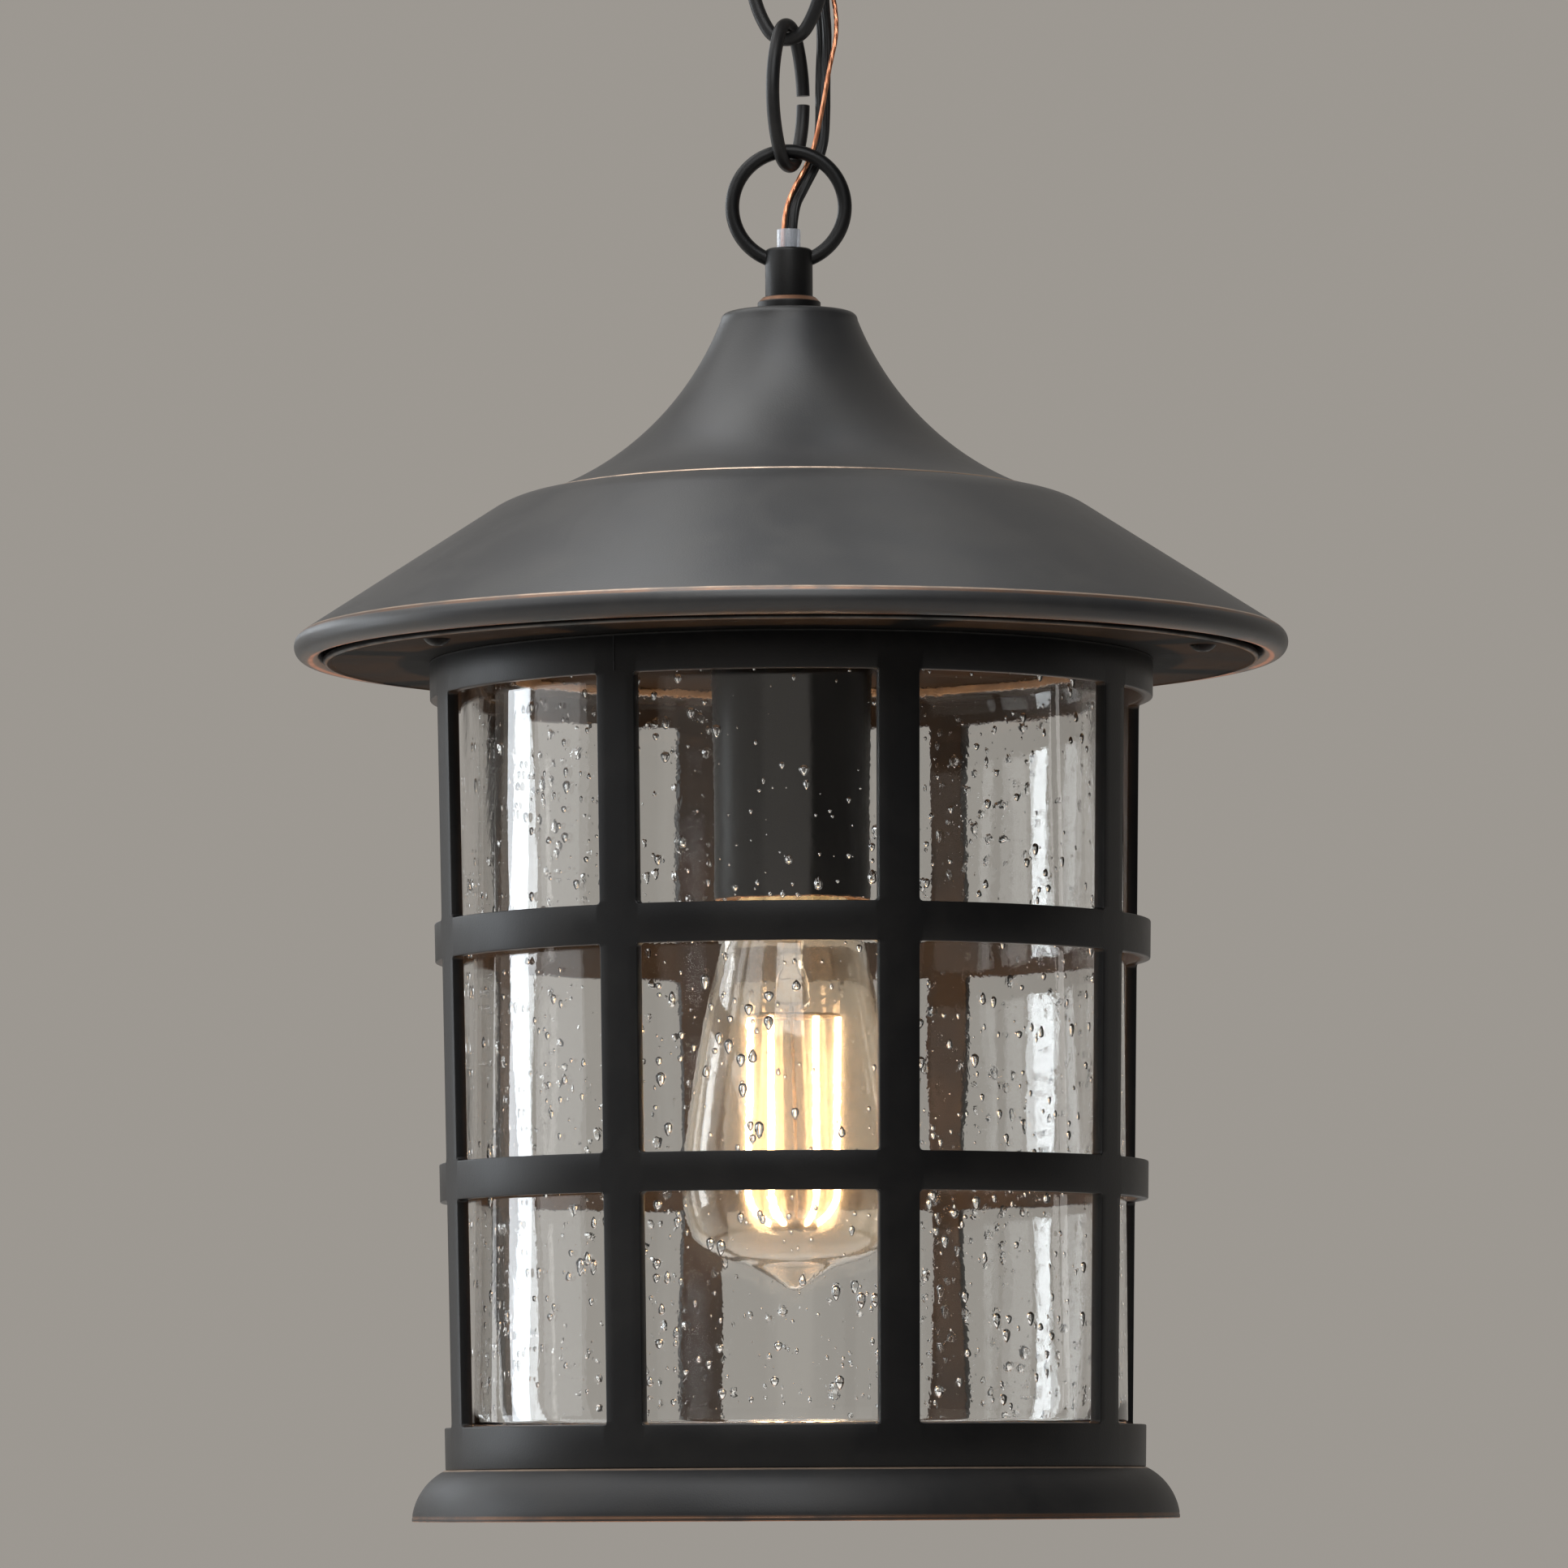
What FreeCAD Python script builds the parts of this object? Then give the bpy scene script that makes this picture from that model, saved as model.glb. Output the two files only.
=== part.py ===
import FreeCAD, Part
import math
import os

# Outdoor hanging lantern on a short chain below a ceiling canopy.
# Millimetres. The origin is the centre of the canopy's rim, on the ceiling plane.
# +Z is up, the lantern hangs below the origin and its front faces -Y.

V = FreeCAD.Vector
ORIGIN = V(0, 0, 0)
UP = V(0, 0, 1)

# Clearances
thread_gap = 0.1        # screwed and plugged pieces
slip_gap = 0.3          # pieces that drop into or turn in one another
link_gap = 0.3          # between two wires that hang in each other

# Ceiling strap and canopy
box_screw_spacing = 88.9
box_slot_length = 12.0
box_slot_width = 4.6
strap_end = 4.0
strap_width = 22.0
strap_thick = 2.0
ground_screw_x = 22.0
ground_shank_r = 2.0
ground_head_r = 4.0
ground_head_h = 2.5
canopy_cover = 9.0      # reach of the canopy past the strap's ends
canopy_depth = 25.0
canopy_skirt = 6.0
canopy_flat_r = 18.0
canopy_wall = 1.2
canopy_skirt_round = 8.0
canopy_flat_round = 9.0

# Threaded nipples and their nuts
nipple_r = 4.8
nipple_bore_r = 3.5
nipple_in_stem = 8.0
nut_flats = 14.0
nut_h = 4.5
washer_r = 9.0
washer_h = 1.2

# Hanging loop, the same on the canopy and on the roof
collar_r = 8.1
collar_h = 3.0
collar_bevel = 1.6
stem_r = 6.1
stem_h = 13.6
stem_round = 1.0
stem_bore_r = 3.35
ring_r = 16.25
ring_wire = 3.6
ring_lift = 10.9        # from the stem's end to the ring's centre
ring_bury = 0.8         # metal left between the ring's end and the stem's bore

# Chain
link_length = 40.0
link_width = 23.5
link_wire = 3.45
link_end_r = 6.5        # bend at the link's ends, at the middle of the wire
link_cut = 2.5          # open cut in one leg
chain_turn = 23.0       # the lower link's plane, turned from the line of sight

# Wire sleeve and wires
sleeve_r = 3.05
sleeve_wall = 0.42
sleeve_in = 8.0
sleeve_out = 5.0
lead_diameter = 2.4
ground_diameter = 1.2
lead_offset = 1.3
ground_offset = 1.9
bundle_turn = 36.0      # direction in which the bundle leans away from the axis

# Roof
brim_r = 127.0
bead_r = 3.6
bead_lift = 0.5         # rolled edge above the soffit's underside
roof_slope = 32.9
roof_wall = 2.0
seam_r = 64.4
seam_slope = 4.0
shoulder_r = 26.0
bell_r = 78.5
crown_r = 17.6
crown_round = 2.0
roof_h = 90.0           # soffit's underside to the roof's flat top

# Soffit plate and its screws
soffit_gap = 3.9        # groove between the plate and the rolled edge
soffit_thick = 1.5
spigot_h = 4.0
spigot_wall = 2.0
screw_count = 3
screw_first = 68.0
screw_inset = 8.0
screw_shank_r = 1.9
screw_head_r = 3.35
screw_head_h = 1.8
screw_length = 9.0
boss_wall = 2.4

# Cage
cage_bottom_r = 88.9
cage_top_r = 92.5
cage_wall = 3.0
bar_count = 8
bar_width = 10.4
bar_first = 16.75       # a bar's middle, from the front towards +X
base_band = 10.7
lower_window = 57.1
lower_hoop = 9.7
middle_window = 51.4
upper_hoop = 9.8
upper_window = 57.1
top_band = 9.7
window_round = 1.0

# Base ring
flare_out = 8.5         # reach of the foot past the cage
foot_lip = 1.0
flare_h = 13.0
flare_bulge = 1.9
base_wall = 2.6
upstand_h = 9.5
ledge_lip = 1.7         # ledge inside the gasket
ledge_thick = 2.5

# Glass tube and its soft rings
glass_gap = 1.4         # to the cage and the soffit's spigot at their narrowest
glass_wall = 3.0
gasket_h = 1.5
gasket_reach = 2.5
pad_h = 2.0

# Lamp socket
cover_r = 20.25
cover_wall = 1.2
cover_h = 61.2
socket_gap = 1.2
socket_recess = 2.7     # porcelain above the cover's mouth
socket_shoulder = 6.0
socket_neck_r = 11.0
nipple_in_socket = 8.0
shell_wall = 0.4
shell_h = 21.4
shell_recess = 2.0
contact_r = 4.2
contact_thick = 0.5
contact_rise = 1.2

# Bulb
cap_r = 13.0
cap_wall = 0.4
cap_h = 17.6
cap_drop = 1.2          # the cap's rim stands this far up inside the cover's mouth
insulator_h = 3.6
insulator_r = 5.4
contact_tip_r = 4.4
contact_tip_h = 1.4
bulb_wall = 0.9
neck_r = cap_r - cap_wall - thread_gap
bulb_length = 100.4
# Envelope: radius and depth below the cap's rim, then radius and height above the tip
bulb_neck = [(neck_r, 1.0), (13.4, 4.0), (17.6, 10.5), (20.4, 22.0)]
bulb_body = [(24.4, 58.9), (28.0, 37.4), (28.8, 25.4), (26.0, 13.9), (19.2, 8.8), (11.0, 6.2),
             (5.6, 3.2), (2.4, 0.8)]
bulb_outline = bulb_neck + [(radius, bulb_length - height) for radius, height in bulb_body]
stem_flare_depth = 8.0
mount_r = 3.0
mount_depth = 29.0
mount_press = 10.0
filament_count = 6
filament_d = 1.7
filament_top_depth = 31.0
filament_straight = 43.0
filament_top_r = 11.5
filament_bend_r = 10.5
filament_bend = 68.0
support_d = 0.9

# Bundle routes: x, y and z of the wires' common middle line, from the lantern to the canopy
route_low = [(0.0, 0.0, -158.5), (0.0, 0.0, -144.6), (3.6, 3.9, -137.4), (7.8, 6.0, -129.0),
             (9.0, 6.2, -121.6), (9.0, 6.2, -114.2)]
route_mid = [(9.0, 6.2, -114.2), (9.0, 6.2, -107.2), (9.6, 6.9, -97.8), (8.8, 6.2, -88.6),
             (8.8, 6.2, -81.4)]
route_top = [(8.8, 6.2, -81.4), (8.8, 6.2, -74.4), (6.9, 4.5, -63.8), (3.0, 1.7, -53.2),
             (0.0, 0.0, -43.4), (0.0, 0.0, -36.4)]

# Levels, from the ceiling down
strap_length = box_screw_spacing + box_slot_length + 2 * strap_end
canopy_r = strap_length / 2 + canopy_cover
loop_reach = collar_h + stem_h + ring_lift
ring_mid_r = ring_r - ring_wire / 2
link_mid = link_length - link_wire
ring_hook = (ring_wire + link_wire) / 2 + link_gap
upper_ring_z = -canopy_depth - loop_reach
upper_link_top = upper_ring_z - ring_mid_r + ring_hook
upper_link_z = upper_link_top - link_mid / 2
lower_link_z = upper_link_z - link_mid + link_wire + link_gap
lower_ring_z = lower_link_z - link_mid / 2 + ring_hook - ring_mid_r
roof_top_z = lower_ring_z - loop_reach
soffit_z = roof_top_z - roof_h
cage_h = (base_band + lower_window + lower_hoop + middle_window + upper_hoop + upper_window + top_band)
cage_z = soffit_z - cage_h
base_z = cage_z - flare_h

# Sizes that follow from others
cage_taper = (cage_top_r - cage_bottom_r) / cage_h
spigot_r = cage_top_r - cage_wall - slip_gap - max(0, spigot_h * cage_taper)
glass_r = min(cage_bottom_r - cage_wall, spigot_r - spigot_wall) - glass_gap
gasket_inner_r = glass_r - glass_wall - gasket_reach
foot_r = cage_bottom_r + flare_out
ledge_z = cage_z + upstand_h
glass_z = ledge_z + gasket_h
glass_top = soffit_z - pad_h
bead_mid_r = brim_r - bead_r
bead_z = soffit_z + bead_lift + bead_r
soffit_r = bead_mid_r - soffit_gap
soffit_top = soffit_z + soffit_thick
screw_circle = soffit_r - screw_inset
cover_z = soffit_z - cover_h
cover_inner_r = cover_r - cover_wall
socket_r = cover_inner_r - socket_gap
socket_z = cover_z + socket_recess
socket_top = soffit_z - cover_wall - nut_h
shell_inner_r = cap_r + slip_gap
shell_r = shell_inner_r + shell_wall
shell_z = socket_z + shell_recess
shell_top = shell_z + shell_h
cap_z = cover_z + cap_drop
stem_tip = roof_top_z + collar_h + stem_h


def flat_face(edges):
    """Face closed by edges that lie in the XZ plane."""
    return Part.Face(Part.Wire(edges))


def point(r, z):
    """Point of a turned outline at radius r and height z."""
    return V(r, 0, z)


def polygon(corners):
    """Closed outline of straight edges through (r, z) corners."""
    points = [point(r, z) for r, z in corners]
    return flat_face(Part.makePolygon(points + points[:1]).Edges)


def turned(face):
    """Solid of revolution of a face about the lantern's axis."""
    return face.revolve(ORIGIN, UP, 360)


def tube(inner_r, outer_r, low, high):
    """Plain ring or sleeve on the axis."""
    body = Part.makeCylinder(outer_r, high - low, V(0, 0, low))
    return body.cut(Part.makeCylinder(inner_r, high - low, V(0, 0, low)))


def arc(first, middle, last):
    """Arc edge through three points."""
    return Part.Arc(first, middle, last).toShape()


def line(first, last):
    """Straight edge between two points."""
    return Part.LineSegment(first, last).toShape()


def polar(degrees):
    """Unit vector at an angle from the front, positive towards +X."""
    turn = math.radians(degrees)
    return V(math.sin(turn), -math.cos(turn), 0)


def spun(shape, degrees):
    """Copy of a shape turned about the lantern's axis."""
    copy = shape.copy()
    copy.rotate(ORIGIN, UP, degrees)
    return copy


def rounded_path(points, radii):
    """Straight runs through points, with an arc of the given radius at each inner point."""
    edges = []
    start = points[0]
    for before, corner, after, radius in zip(points, points[1:], points[2:], radii):
        towards = (before - corner).normalize()
        onward = (after - corner).normalize()
        half_turn = (math.pi - towards.getAngle(onward)) / 2
        reach = radius * math.tan(half_turn)
        centre_way = (towards + onward).normalize()
        depth = radius / math.cos(half_turn) - radius
        edges.append(line(start, corner + towards * reach))
        edges.append(arc(corner + towards * reach, corner + centre_way * depth, corner + onward * reach))
        start = corner + onward * reach
    edges.append(line(start, points[-1]))
    return edges


def hex_nut(low):
    """Hexagon nut on a nipple."""
    corner_r = nut_flats / math.sqrt(3)
    corners = [V(corner_r * math.cos(math.pi / 3 * k), corner_r * math.sin(math.pi / 3 * k), low)
               for k in range(6)]
    body = Part.Face(Part.makePolygon(corners + corners[:1])).extrude(V(0, 0, nut_h))
    return body.cut(Part.makeCylinder(nipple_r + thread_gap, nut_h, V(0, 0, low)))


# Hanging loop

def loop_ring():
    """Wire ring, open where its two ends enter the stem, about the origin."""
    end_turn = math.asin((stem_bore_r + ring_bury) / (ring_mid_r - ring_wire / 2))
    right = V(math.sin(end_turn), 0, -math.cos(end_turn)) * ring_mid_r
    left = V(-right.x, 0, right.z)
    path = Part.Wire([arc(right, V(0, 0, ring_mid_r), left)])
    ahead = V(math.cos(end_turn), 0, math.sin(end_turn))
    section = Part.Wire(Part.Circle(right, ahead, ring_wire / 2).toShape())
    return path.makePipeShell([section], True, False)


def loop_collar():
    """Bevelled collar that the stem stands on, from z = 0 up."""
    bore = nipple_r + thread_gap
    return turned(polygon([(bore, 0), (collar_r, 0), (collar_r, collar_h - collar_bevel),
                           (collar_r - collar_bevel, collar_h), (bore, collar_h)]))


def loop_stem():
    """Stem with a threaded socket below, a wire bore above and the ring's two end holes."""
    low = collar_h
    high = collar_h + stem_h
    body = Part.makeCylinder(stem_r, stem_h, V(0, 0, low))
    top_rim = [edge for edge in body.Edges if abs(edge.CenterOfMass.z - high) < thread_gap
               and edge.Closed]
    body = body.makeFillet(stem_round, top_rim)
    body = body.cut(Part.makeCylinder(stem_bore_r, stem_h, V(0, 0, low)))
    body = body.cut(Part.makeCylinder(nipple_r + thread_gap, nipple_in_stem, V(0, 0, low)))
    hole = loop_ring()
    hole.translate(V(0, 0, loop_reach))
    return body.cut(hole)


def standing(shape, seat_z):
    """Loop piece on the roof, pointing up."""
    shape.translate(V(0, 0, seat_z))
    return shape


def hanging(shape, seat_z):
    """Loop piece under the canopy, pointing down, its ring across the upper link."""
    shape.rotate(ORIGIN, V(1, 0, 0), 180)
    shape.rotate(ORIGIN, UP, 90 - chain_turn)
    shape.translate(V(0, 0, seat_z))
    return shape


def raised_ring():
    """Loop ring at its place above a seat at z = 0."""
    ring = loop_ring()
    ring.translate(V(0, 0, loop_reach))
    return ring


# Ceiling group

def mounting_strap():
    """Flat bar with two slots for the ceiling box's screws."""
    bar = Part.makeBox(strap_length, strap_width, strap_thick,
                       V(-strap_length / 2, -strap_width / 2, -strap_thick))
    for side in (-1, 1):
        middle = side * box_screw_spacing / 2
        straight = box_slot_length - box_slot_width
        slot = Part.makeBox(straight, box_slot_width, strap_thick,
                            V(middle - straight / 2, -box_slot_width / 2, -strap_thick))
        for end in (-1, 1):
            slot = slot.fuse(Part.makeCylinder(box_slot_width / 2, strap_thick,
                                               V(middle + end * straight / 2, 0, -strap_thick)))
        bar = bar.cut(slot)
    bar = bar.cut(Part.makeCylinder(nipple_r + thread_gap, strap_thick, V(0, 0, -strap_thick)))
    return bar.cut(Part.makeCylinder(ground_shank_r + thread_gap, strap_thick,
                                     V(ground_screw_x, 0, -strap_thick)))


def ground_screw():
    """Washer-head screw for the ground wire, driven up into the strap."""
    shank = Part.makeCylinder(ground_shank_r, strap_thick, V(ground_screw_x, 0, -strap_thick))
    head = Part.makeCylinder(ground_head_r, ground_head_h,
                             V(ground_screw_x, 0, -strap_thick - ground_head_h))
    return shank.fuse(head).removeSplitter()


def canopy():
    """Spun cup over the ceiling box, open to the ceiling."""
    hole_r = nipple_r + slip_gap
    outer = [point(canopy_r, 0), point(canopy_r, -canopy_skirt), point(canopy_flat_r, -canopy_depth),
             point(hole_r, -canopy_depth)]
    inner = [point(canopy_r - canopy_wall, 0), point(canopy_r - canopy_wall, canopy_wall / 2 - canopy_skirt),
             point(canopy_flat_r, canopy_wall - canopy_depth), point(hole_r, canopy_wall - canopy_depth)]
    outer_edges = rounded_path(outer, [canopy_skirt_round, canopy_flat_round])
    inner_edges = rounded_path(inner, [canopy_skirt_round - canopy_wall, canopy_flat_round + canopy_wall])
    return turned(flat_face(outer_edges + [line(outer[-1], inner[-1])] + inner_edges[::-1]
                            + [line(inner[0], outer[0])]))


def canopy_nipple():
    """Threaded tube from the strap down into the canopy's loop stem."""
    return tube(nipple_bore_r, nipple_r, -canopy_depth - collar_h - nipple_in_stem, 0)


# Chain

def chain_link(turn, middle_z):
    """Oval link of round wire with an open cut in one leg."""
    half_l = link_mid / 2
    half_w = (link_width - link_wire) / 2
    side_r = (half_l ** 2 + half_w ** 2 - 2 * half_l * link_end_r) / (2 * (half_w - link_end_r))
    side_turn = math.atan2(half_l - link_end_r, side_r - half_w)
    cut_turn = math.asin(link_cut / 2 / side_r)

    def leg(angle, hand):
        return V(hand * (half_w - side_r + side_r * math.cos(angle)), 0, side_r * math.sin(angle))

    top = V(0, 0, half_l)
    half_way = (cut_turn + side_turn) / 2
    edges = [arc(leg(cut_turn, 1), leg(half_way, 1), leg(side_turn, 1)),
             arc(leg(side_turn, 1), top, leg(side_turn, -1)),
             arc(leg(side_turn, -1), leg(0, -1), leg(-side_turn, -1)),
             arc(leg(-side_turn, -1), -top, leg(-side_turn, 1)),
             arc(leg(-side_turn, 1), leg(-half_way, 1), leg(-cut_turn, 1))]
    path = Part.Wire(edges)
    ahead = V(-math.sin(cut_turn), 0, math.cos(cut_turn))
    section = Part.Wire(Part.Circle(leg(cut_turn, 1), ahead, link_wire / 2).toShape())
    link = path.makePipeShell([section], True, False)
    link.rotate(ORIGIN, UP, turn)
    link.translate(V(0, 0, middle_z))
    return link


# Wires

def wire_stretch(name, route, offset, diameter):
    """Round wire along a bundle route, beside its middle line."""
    points = [V(*place) + offset for place in route]
    radii = []
    for before, corner, after in zip(points, points[1:], points[2:]):
        shorter = min((corner - before).Length, (after - corner).Length)
        half_turn = (math.pi - (before - corner).getAngle(after - corner)) / 2
        radii.append(0.45 * shorter / math.tan(half_turn))
    path = Part.Wire(rounded_path(points, radii))
    section = Part.Wire(Part.Circle(points[0], points[1] - points[0], diameter / 2).toShape())
    solid = path.makePipeShell([section], True, False)
    share = solid.Volume / (math.pi * diameter ** 2 / 4 * path.Length)
    print(name, "radii", [round(r, 1) for r in radii], "volume share", round(share, 4))
    return solid


def wires():
    """Three wires in three stretches, one across each hinge of the chain."""
    lean = math.radians(bundle_turn)
    outward = V(math.cos(lean), math.sin(lean), 0)
    across = V(-math.sin(lean), math.cos(lean), 0)
    strands = {"line_wire": (across * -lead_offset, lead_diameter),
               "neutral_wire": (across * lead_offset, lead_diameter),
               "ground_wire": (outward * ground_offset, ground_diameter)}
    routes = {"low": route_low, "mid": route_mid, "top": route_top}
    made = {}
    for strand, (offset, diameter) in strands.items():
        for stretch, route in routes.items():
            name = strand + "_" + stretch
            made[name] = wire_stretch(name, route, offset, diameter)
    return made


# Roof

def roof_outline(depth):
    """Edges of the roof at a depth under its outer surface, from the rolled edge to the axis."""
    slope = math.radians(roof_slope)
    start_slope = math.radians(seam_slope)
    skirt_way = point(math.sin(slope), math.cos(slope))
    seam_way = point(math.sin(start_slope), math.cos(start_slope))
    middle_way = (skirt_way + seam_way).normalize()
    bead_middle = point(bead_mid_r, bead_z)
    brim = bead_middle + skirt_way * (bead_r - depth)
    run = bead_middle + skirt_way * bead_r
    tangent_r = seam_r + shoulder_r * (math.sin(slope) - math.sin(start_slope))
    tangent = point(tangent_r, run.z + (run.x - tangent_r) * math.tan(slope))
    shoulder_middle = tangent - skirt_way * shoulder_r
    seam = shoulder_middle + seam_way * shoulder_r
    bell_top = point(crown_r, roof_top_z - crown_round)
    chord = bell_top - seam
    sag = bell_r - math.sqrt(bell_r ** 2 - chord.Length ** 2 / 4)
    inward = point(-chord.z, chord.x).normalize()
    bell_middle = (bell_top + seam) * 0.5 + inward * (sag - bell_r)
    bell = [bell_middle + way.normalize() * (bell_r + depth)
            for way in (seam - bell_middle, inward * 1.0, bell_top - bell_middle)]
    shoulder = [shoulder_middle + way * (shoulder_r - depth) for way in (skirt_way, middle_way, seam_way)]
    crown = point(crown_r - crown_round, roof_top_z - depth)
    edges = [line(brim, shoulder[0]), arc(*shoulder)]
    if depth > 0:
        edges += [line(shoulder[2], bell[0]), arc(*bell), line(bell[2], crown)]
    else:
        crown_middle = point(crown_r - crown_round, roof_top_z - crown_round)
        corner = crown_middle + point(1, 1).normalize() * crown_round
        edges += [arc(*bell), arc(bell[2], corner, crown)]
    return edges + [line(crown, point(0, crown.z))]


def filled(outline):
    """Solid of revolution under an outline that ends on the axis."""
    foot = outline[0].valueAt(outline[0].FirstParameter)
    top = outline[-1].valueAt(outline[-1].LastParameter)
    return turned(flat_face(outline + [line(top, point(0, foot.z)), line(point(0, foot.z), foot)]))


def roof():
    """Spun roof: straight skirt, seam, hollow bell and flat crown, with a rolled edge and screw bosses."""
    envelope = filled(roof_outline(0))
    shell = envelope.cut(filled(roof_outline(roof_wall)))
    shell = shell.fuse(Part.makeTorus(bead_mid_r, bead_r, V(0, 0, bead_z)))
    boss_space = envelope.fuse(Part.makeCylinder(bead_mid_r, bead_r + bead_z - soffit_top,
                                                 V(0, 0, soffit_top)))
    for number in range(screw_count):
        place = polar(screw_first + 360 / screw_count * number) * screw_circle
        foot = V(place.x, place.y, soffit_top)
        boss = Part.makeCylinder(screw_shank_r + boss_wall, roof_h, foot).common(boss_space)
        hole = Part.makeCylinder(screw_shank_r + thread_gap, screw_length - soffit_thick, foot)
        shell = shell.fuse(boss).cut(hole)
    hole = Part.makeCylinder(nipple_r + thread_gap, roof_wall, V(0, 0, roof_top_z - roof_wall))
    return shell.cut(hole).removeSplitter()


def soffit_plate():
    """Round plate under the brim, with a spigot that centres the cage."""
    plate = tube(nipple_r + thread_gap, soffit_r, soffit_z, soffit_top)
    spigot = tube(spigot_r - spigot_wall, spigot_r, soffit_z - spigot_h, soffit_z)
    plate = plate.fuse(spigot).removeSplitter()
    for number in range(screw_count):
        place = polar(screw_first + 360 / screw_count * number) * screw_circle
        plate = plate.cut(Part.makeCylinder(screw_shank_r + thread_gap, soffit_thick,
                                            V(place.x, place.y, soffit_z)))
    return plate


def soffit_screws():
    """Round-head screws up through the soffit into the roof's bosses."""
    screws = []
    for number in range(screw_count):
        place = polar(screw_first + 360 / screw_count * number) * screw_circle
        shank = Part.makeCylinder(screw_shank_r, screw_length, V(place.x, place.y, soffit_z))
        dome_r = (screw_head_r ** 2 + screw_head_h ** 2) / (2 * screw_head_h)
        dome = Part.makeSphere(dome_r, V(place.x, place.y, soffit_z - screw_head_h + dome_r))
        slab = Part.makeCylinder(screw_head_r, screw_head_h, V(place.x, place.y, soffit_z - screw_head_h))
        screws.append(shank.fuse(dome.common(slab)).removeSplitter())
    return Part.makeCompound(screws)


# Cage, base and glass

def cage_outer_r(height):
    """Outer radius of the cage at a height above its lower edge."""
    return cage_bottom_r + cage_taper * height


def cage():
    """Rolled and slightly tapered wall with three rows of windows between its bars and hoops."""
    wall = turned(polygon([(cage_bottom_r, cage_z), (cage_top_r, soffit_z),
                           (cage_top_r - cage_wall, soffit_z), (cage_bottom_r - cage_wall, cage_z)]))
    inside = min(cage_bottom_r, cage_top_r) - 2 * cage_wall
    outside = max(cage_bottom_r, cage_top_r) + cage_wall
    pitch = 360 / bar_count
    low = base_band
    for height, above in ((lower_window, lower_hoop), (middle_window, upper_hoop), (upper_window, top_band)):
        bar_turn = math.degrees(bar_width / cage_outer_r(low + height / 2))
        section = polygon([(inside, cage_z + low), (outside, cage_z + low), (outside, cage_z + low + height),
                           (inside, cage_z + low + height)])
        window = section.revolve(ORIGIN, UP, pitch - bar_turn)
        corners = [edge for edge in window.Edges if isinstance(edge.Curve, Part.Line)
                   and edge.BoundBox.ZLength < thread_gap]
        window = window.makeFillet(window_round, corners)
        first = bar_first - 90 + bar_turn / 2
        for number in range(bar_count):
            wall = wall.cut(spun(window, first + pitch * number))
        low += height + above
    return wall


def base_ring():
    """Cast foot ring: convex flare outside, upstand inside the cage and a ledge for the glass."""
    shoulder = point(cage_bottom_r, cage_z)
    foot = point(foot_r, base_z + foot_lip)
    chord = foot - shoulder
    outward = point(-chord.z, chord.x).normalize()
    bulge = (shoulder + foot) * 0.5 + outward * flare_bulge
    inner_foot = point(foot_r - base_wall, base_z)
    inner_top = point(cage_bottom_r - base_wall / 2, cage_z - base_wall)
    inner_bulge = (inner_foot + inner_top) * 0.5 + outward * flare_bulge
    upstand_r = cage_bottom_r - cage_wall - thread_gap
    ledge_r = gasket_inner_r - ledge_lip
    straight = [foot, point(foot_r, base_z), inner_foot]
    rest = [inner_top, point(upstand_r - base_wall, cage_z - base_wall),
            point(upstand_r - base_wall, ledge_z - ledge_thick), point(ledge_r, ledge_z - ledge_thick),
            point(ledge_r, ledge_z), point(upstand_r, ledge_z), point(upstand_r, cage_z), shoulder]
    edges = [arc(shoulder, bulge, foot)]
    edges += [line(a, b) for a, b in zip(straight, straight[1:])]
    edges.append(arc(inner_foot, inner_bulge, inner_top))
    edges += [line(a, b) for a, b in zip(rest, rest[1:])]
    return turned(flat_face(edges))


def glass_tube():
    """Clear tube that stands on the gasket."""
    return tube(glass_r - glass_wall, glass_r, glass_z, glass_top)


def glass_gasket():
    """Soft ring between the base's ledge and the glass."""
    return tube(gasket_inner_r, glass_r, ledge_z, glass_z)


def glass_pad():
    """Soft ring between the glass and the soffit."""
    return tube(glass_r - glass_wall, glass_r, glass_top, soffit_z)


# Lamp socket

def socket_cover():
    """Dark sleeve round the socket, closed at the top where the nipple holds it."""
    sleeve = tube(cover_inner_r, cover_r, cover_z, soffit_z)
    lid = tube(nipple_r + thread_gap, cover_inner_r, soffit_z - cover_wall, soffit_z)
    return sleeve.fuse(lid).removeSplitter()


def socket_body():
    """Porcelain body, bored for the screw shell and drilled for the nipple."""
    bore_r = shell_r + thread_gap
    nipple_hole = nipple_r + thread_gap
    return turned(polygon([(bore_r, socket_z), (socket_r, socket_z), (socket_r, socket_top - socket_shoulder),
                           (socket_neck_r, socket_top), (nipple_hole, socket_top),
                           (nipple_hole, socket_top - nipple_in_socket), (nipple_bore_r, socket_top
                                                                          - nipple_in_socket),
                           (nipple_bore_r, shell_top), (bore_r, shell_top)]))


def socket_shell():
    """Screw shell, a thin brass cup against the top of the porcelain's bore."""
    sleeve = tube(shell_inner_r, shell_r, shell_z, shell_top)
    crown = tube(contact_r + slip_gap, shell_inner_r, shell_top - shell_wall, shell_top)
    return sleeve.fuse(crown).removeSplitter()


def socket_contact():
    """Sprung centre contact, a shallow dished disc on the porcelain."""
    low = shell_top - contact_rise
    return turned(polygon([(0, low), (contact_r / 2, low), (contact_r, shell_top - contact_thick),
                           (contact_r, shell_top), (nipple_bore_r / 2, shell_top),
                           (0, low + contact_thick)]))


# Bulb

def bulb_cap():
    """Screw cap of the bulb."""
    return tube(cap_r - cap_wall, cap_r, cap_z, cap_z + cap_h)


def bulb_insulator():
    """Dark glass insulator that closes the cap's end."""
    low = cap_z + cap_h
    return turned(polygon([(0, low), (cap_r, low), (insulator_r, low + insulator_h), (0, low + insulator_h)]))


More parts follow.
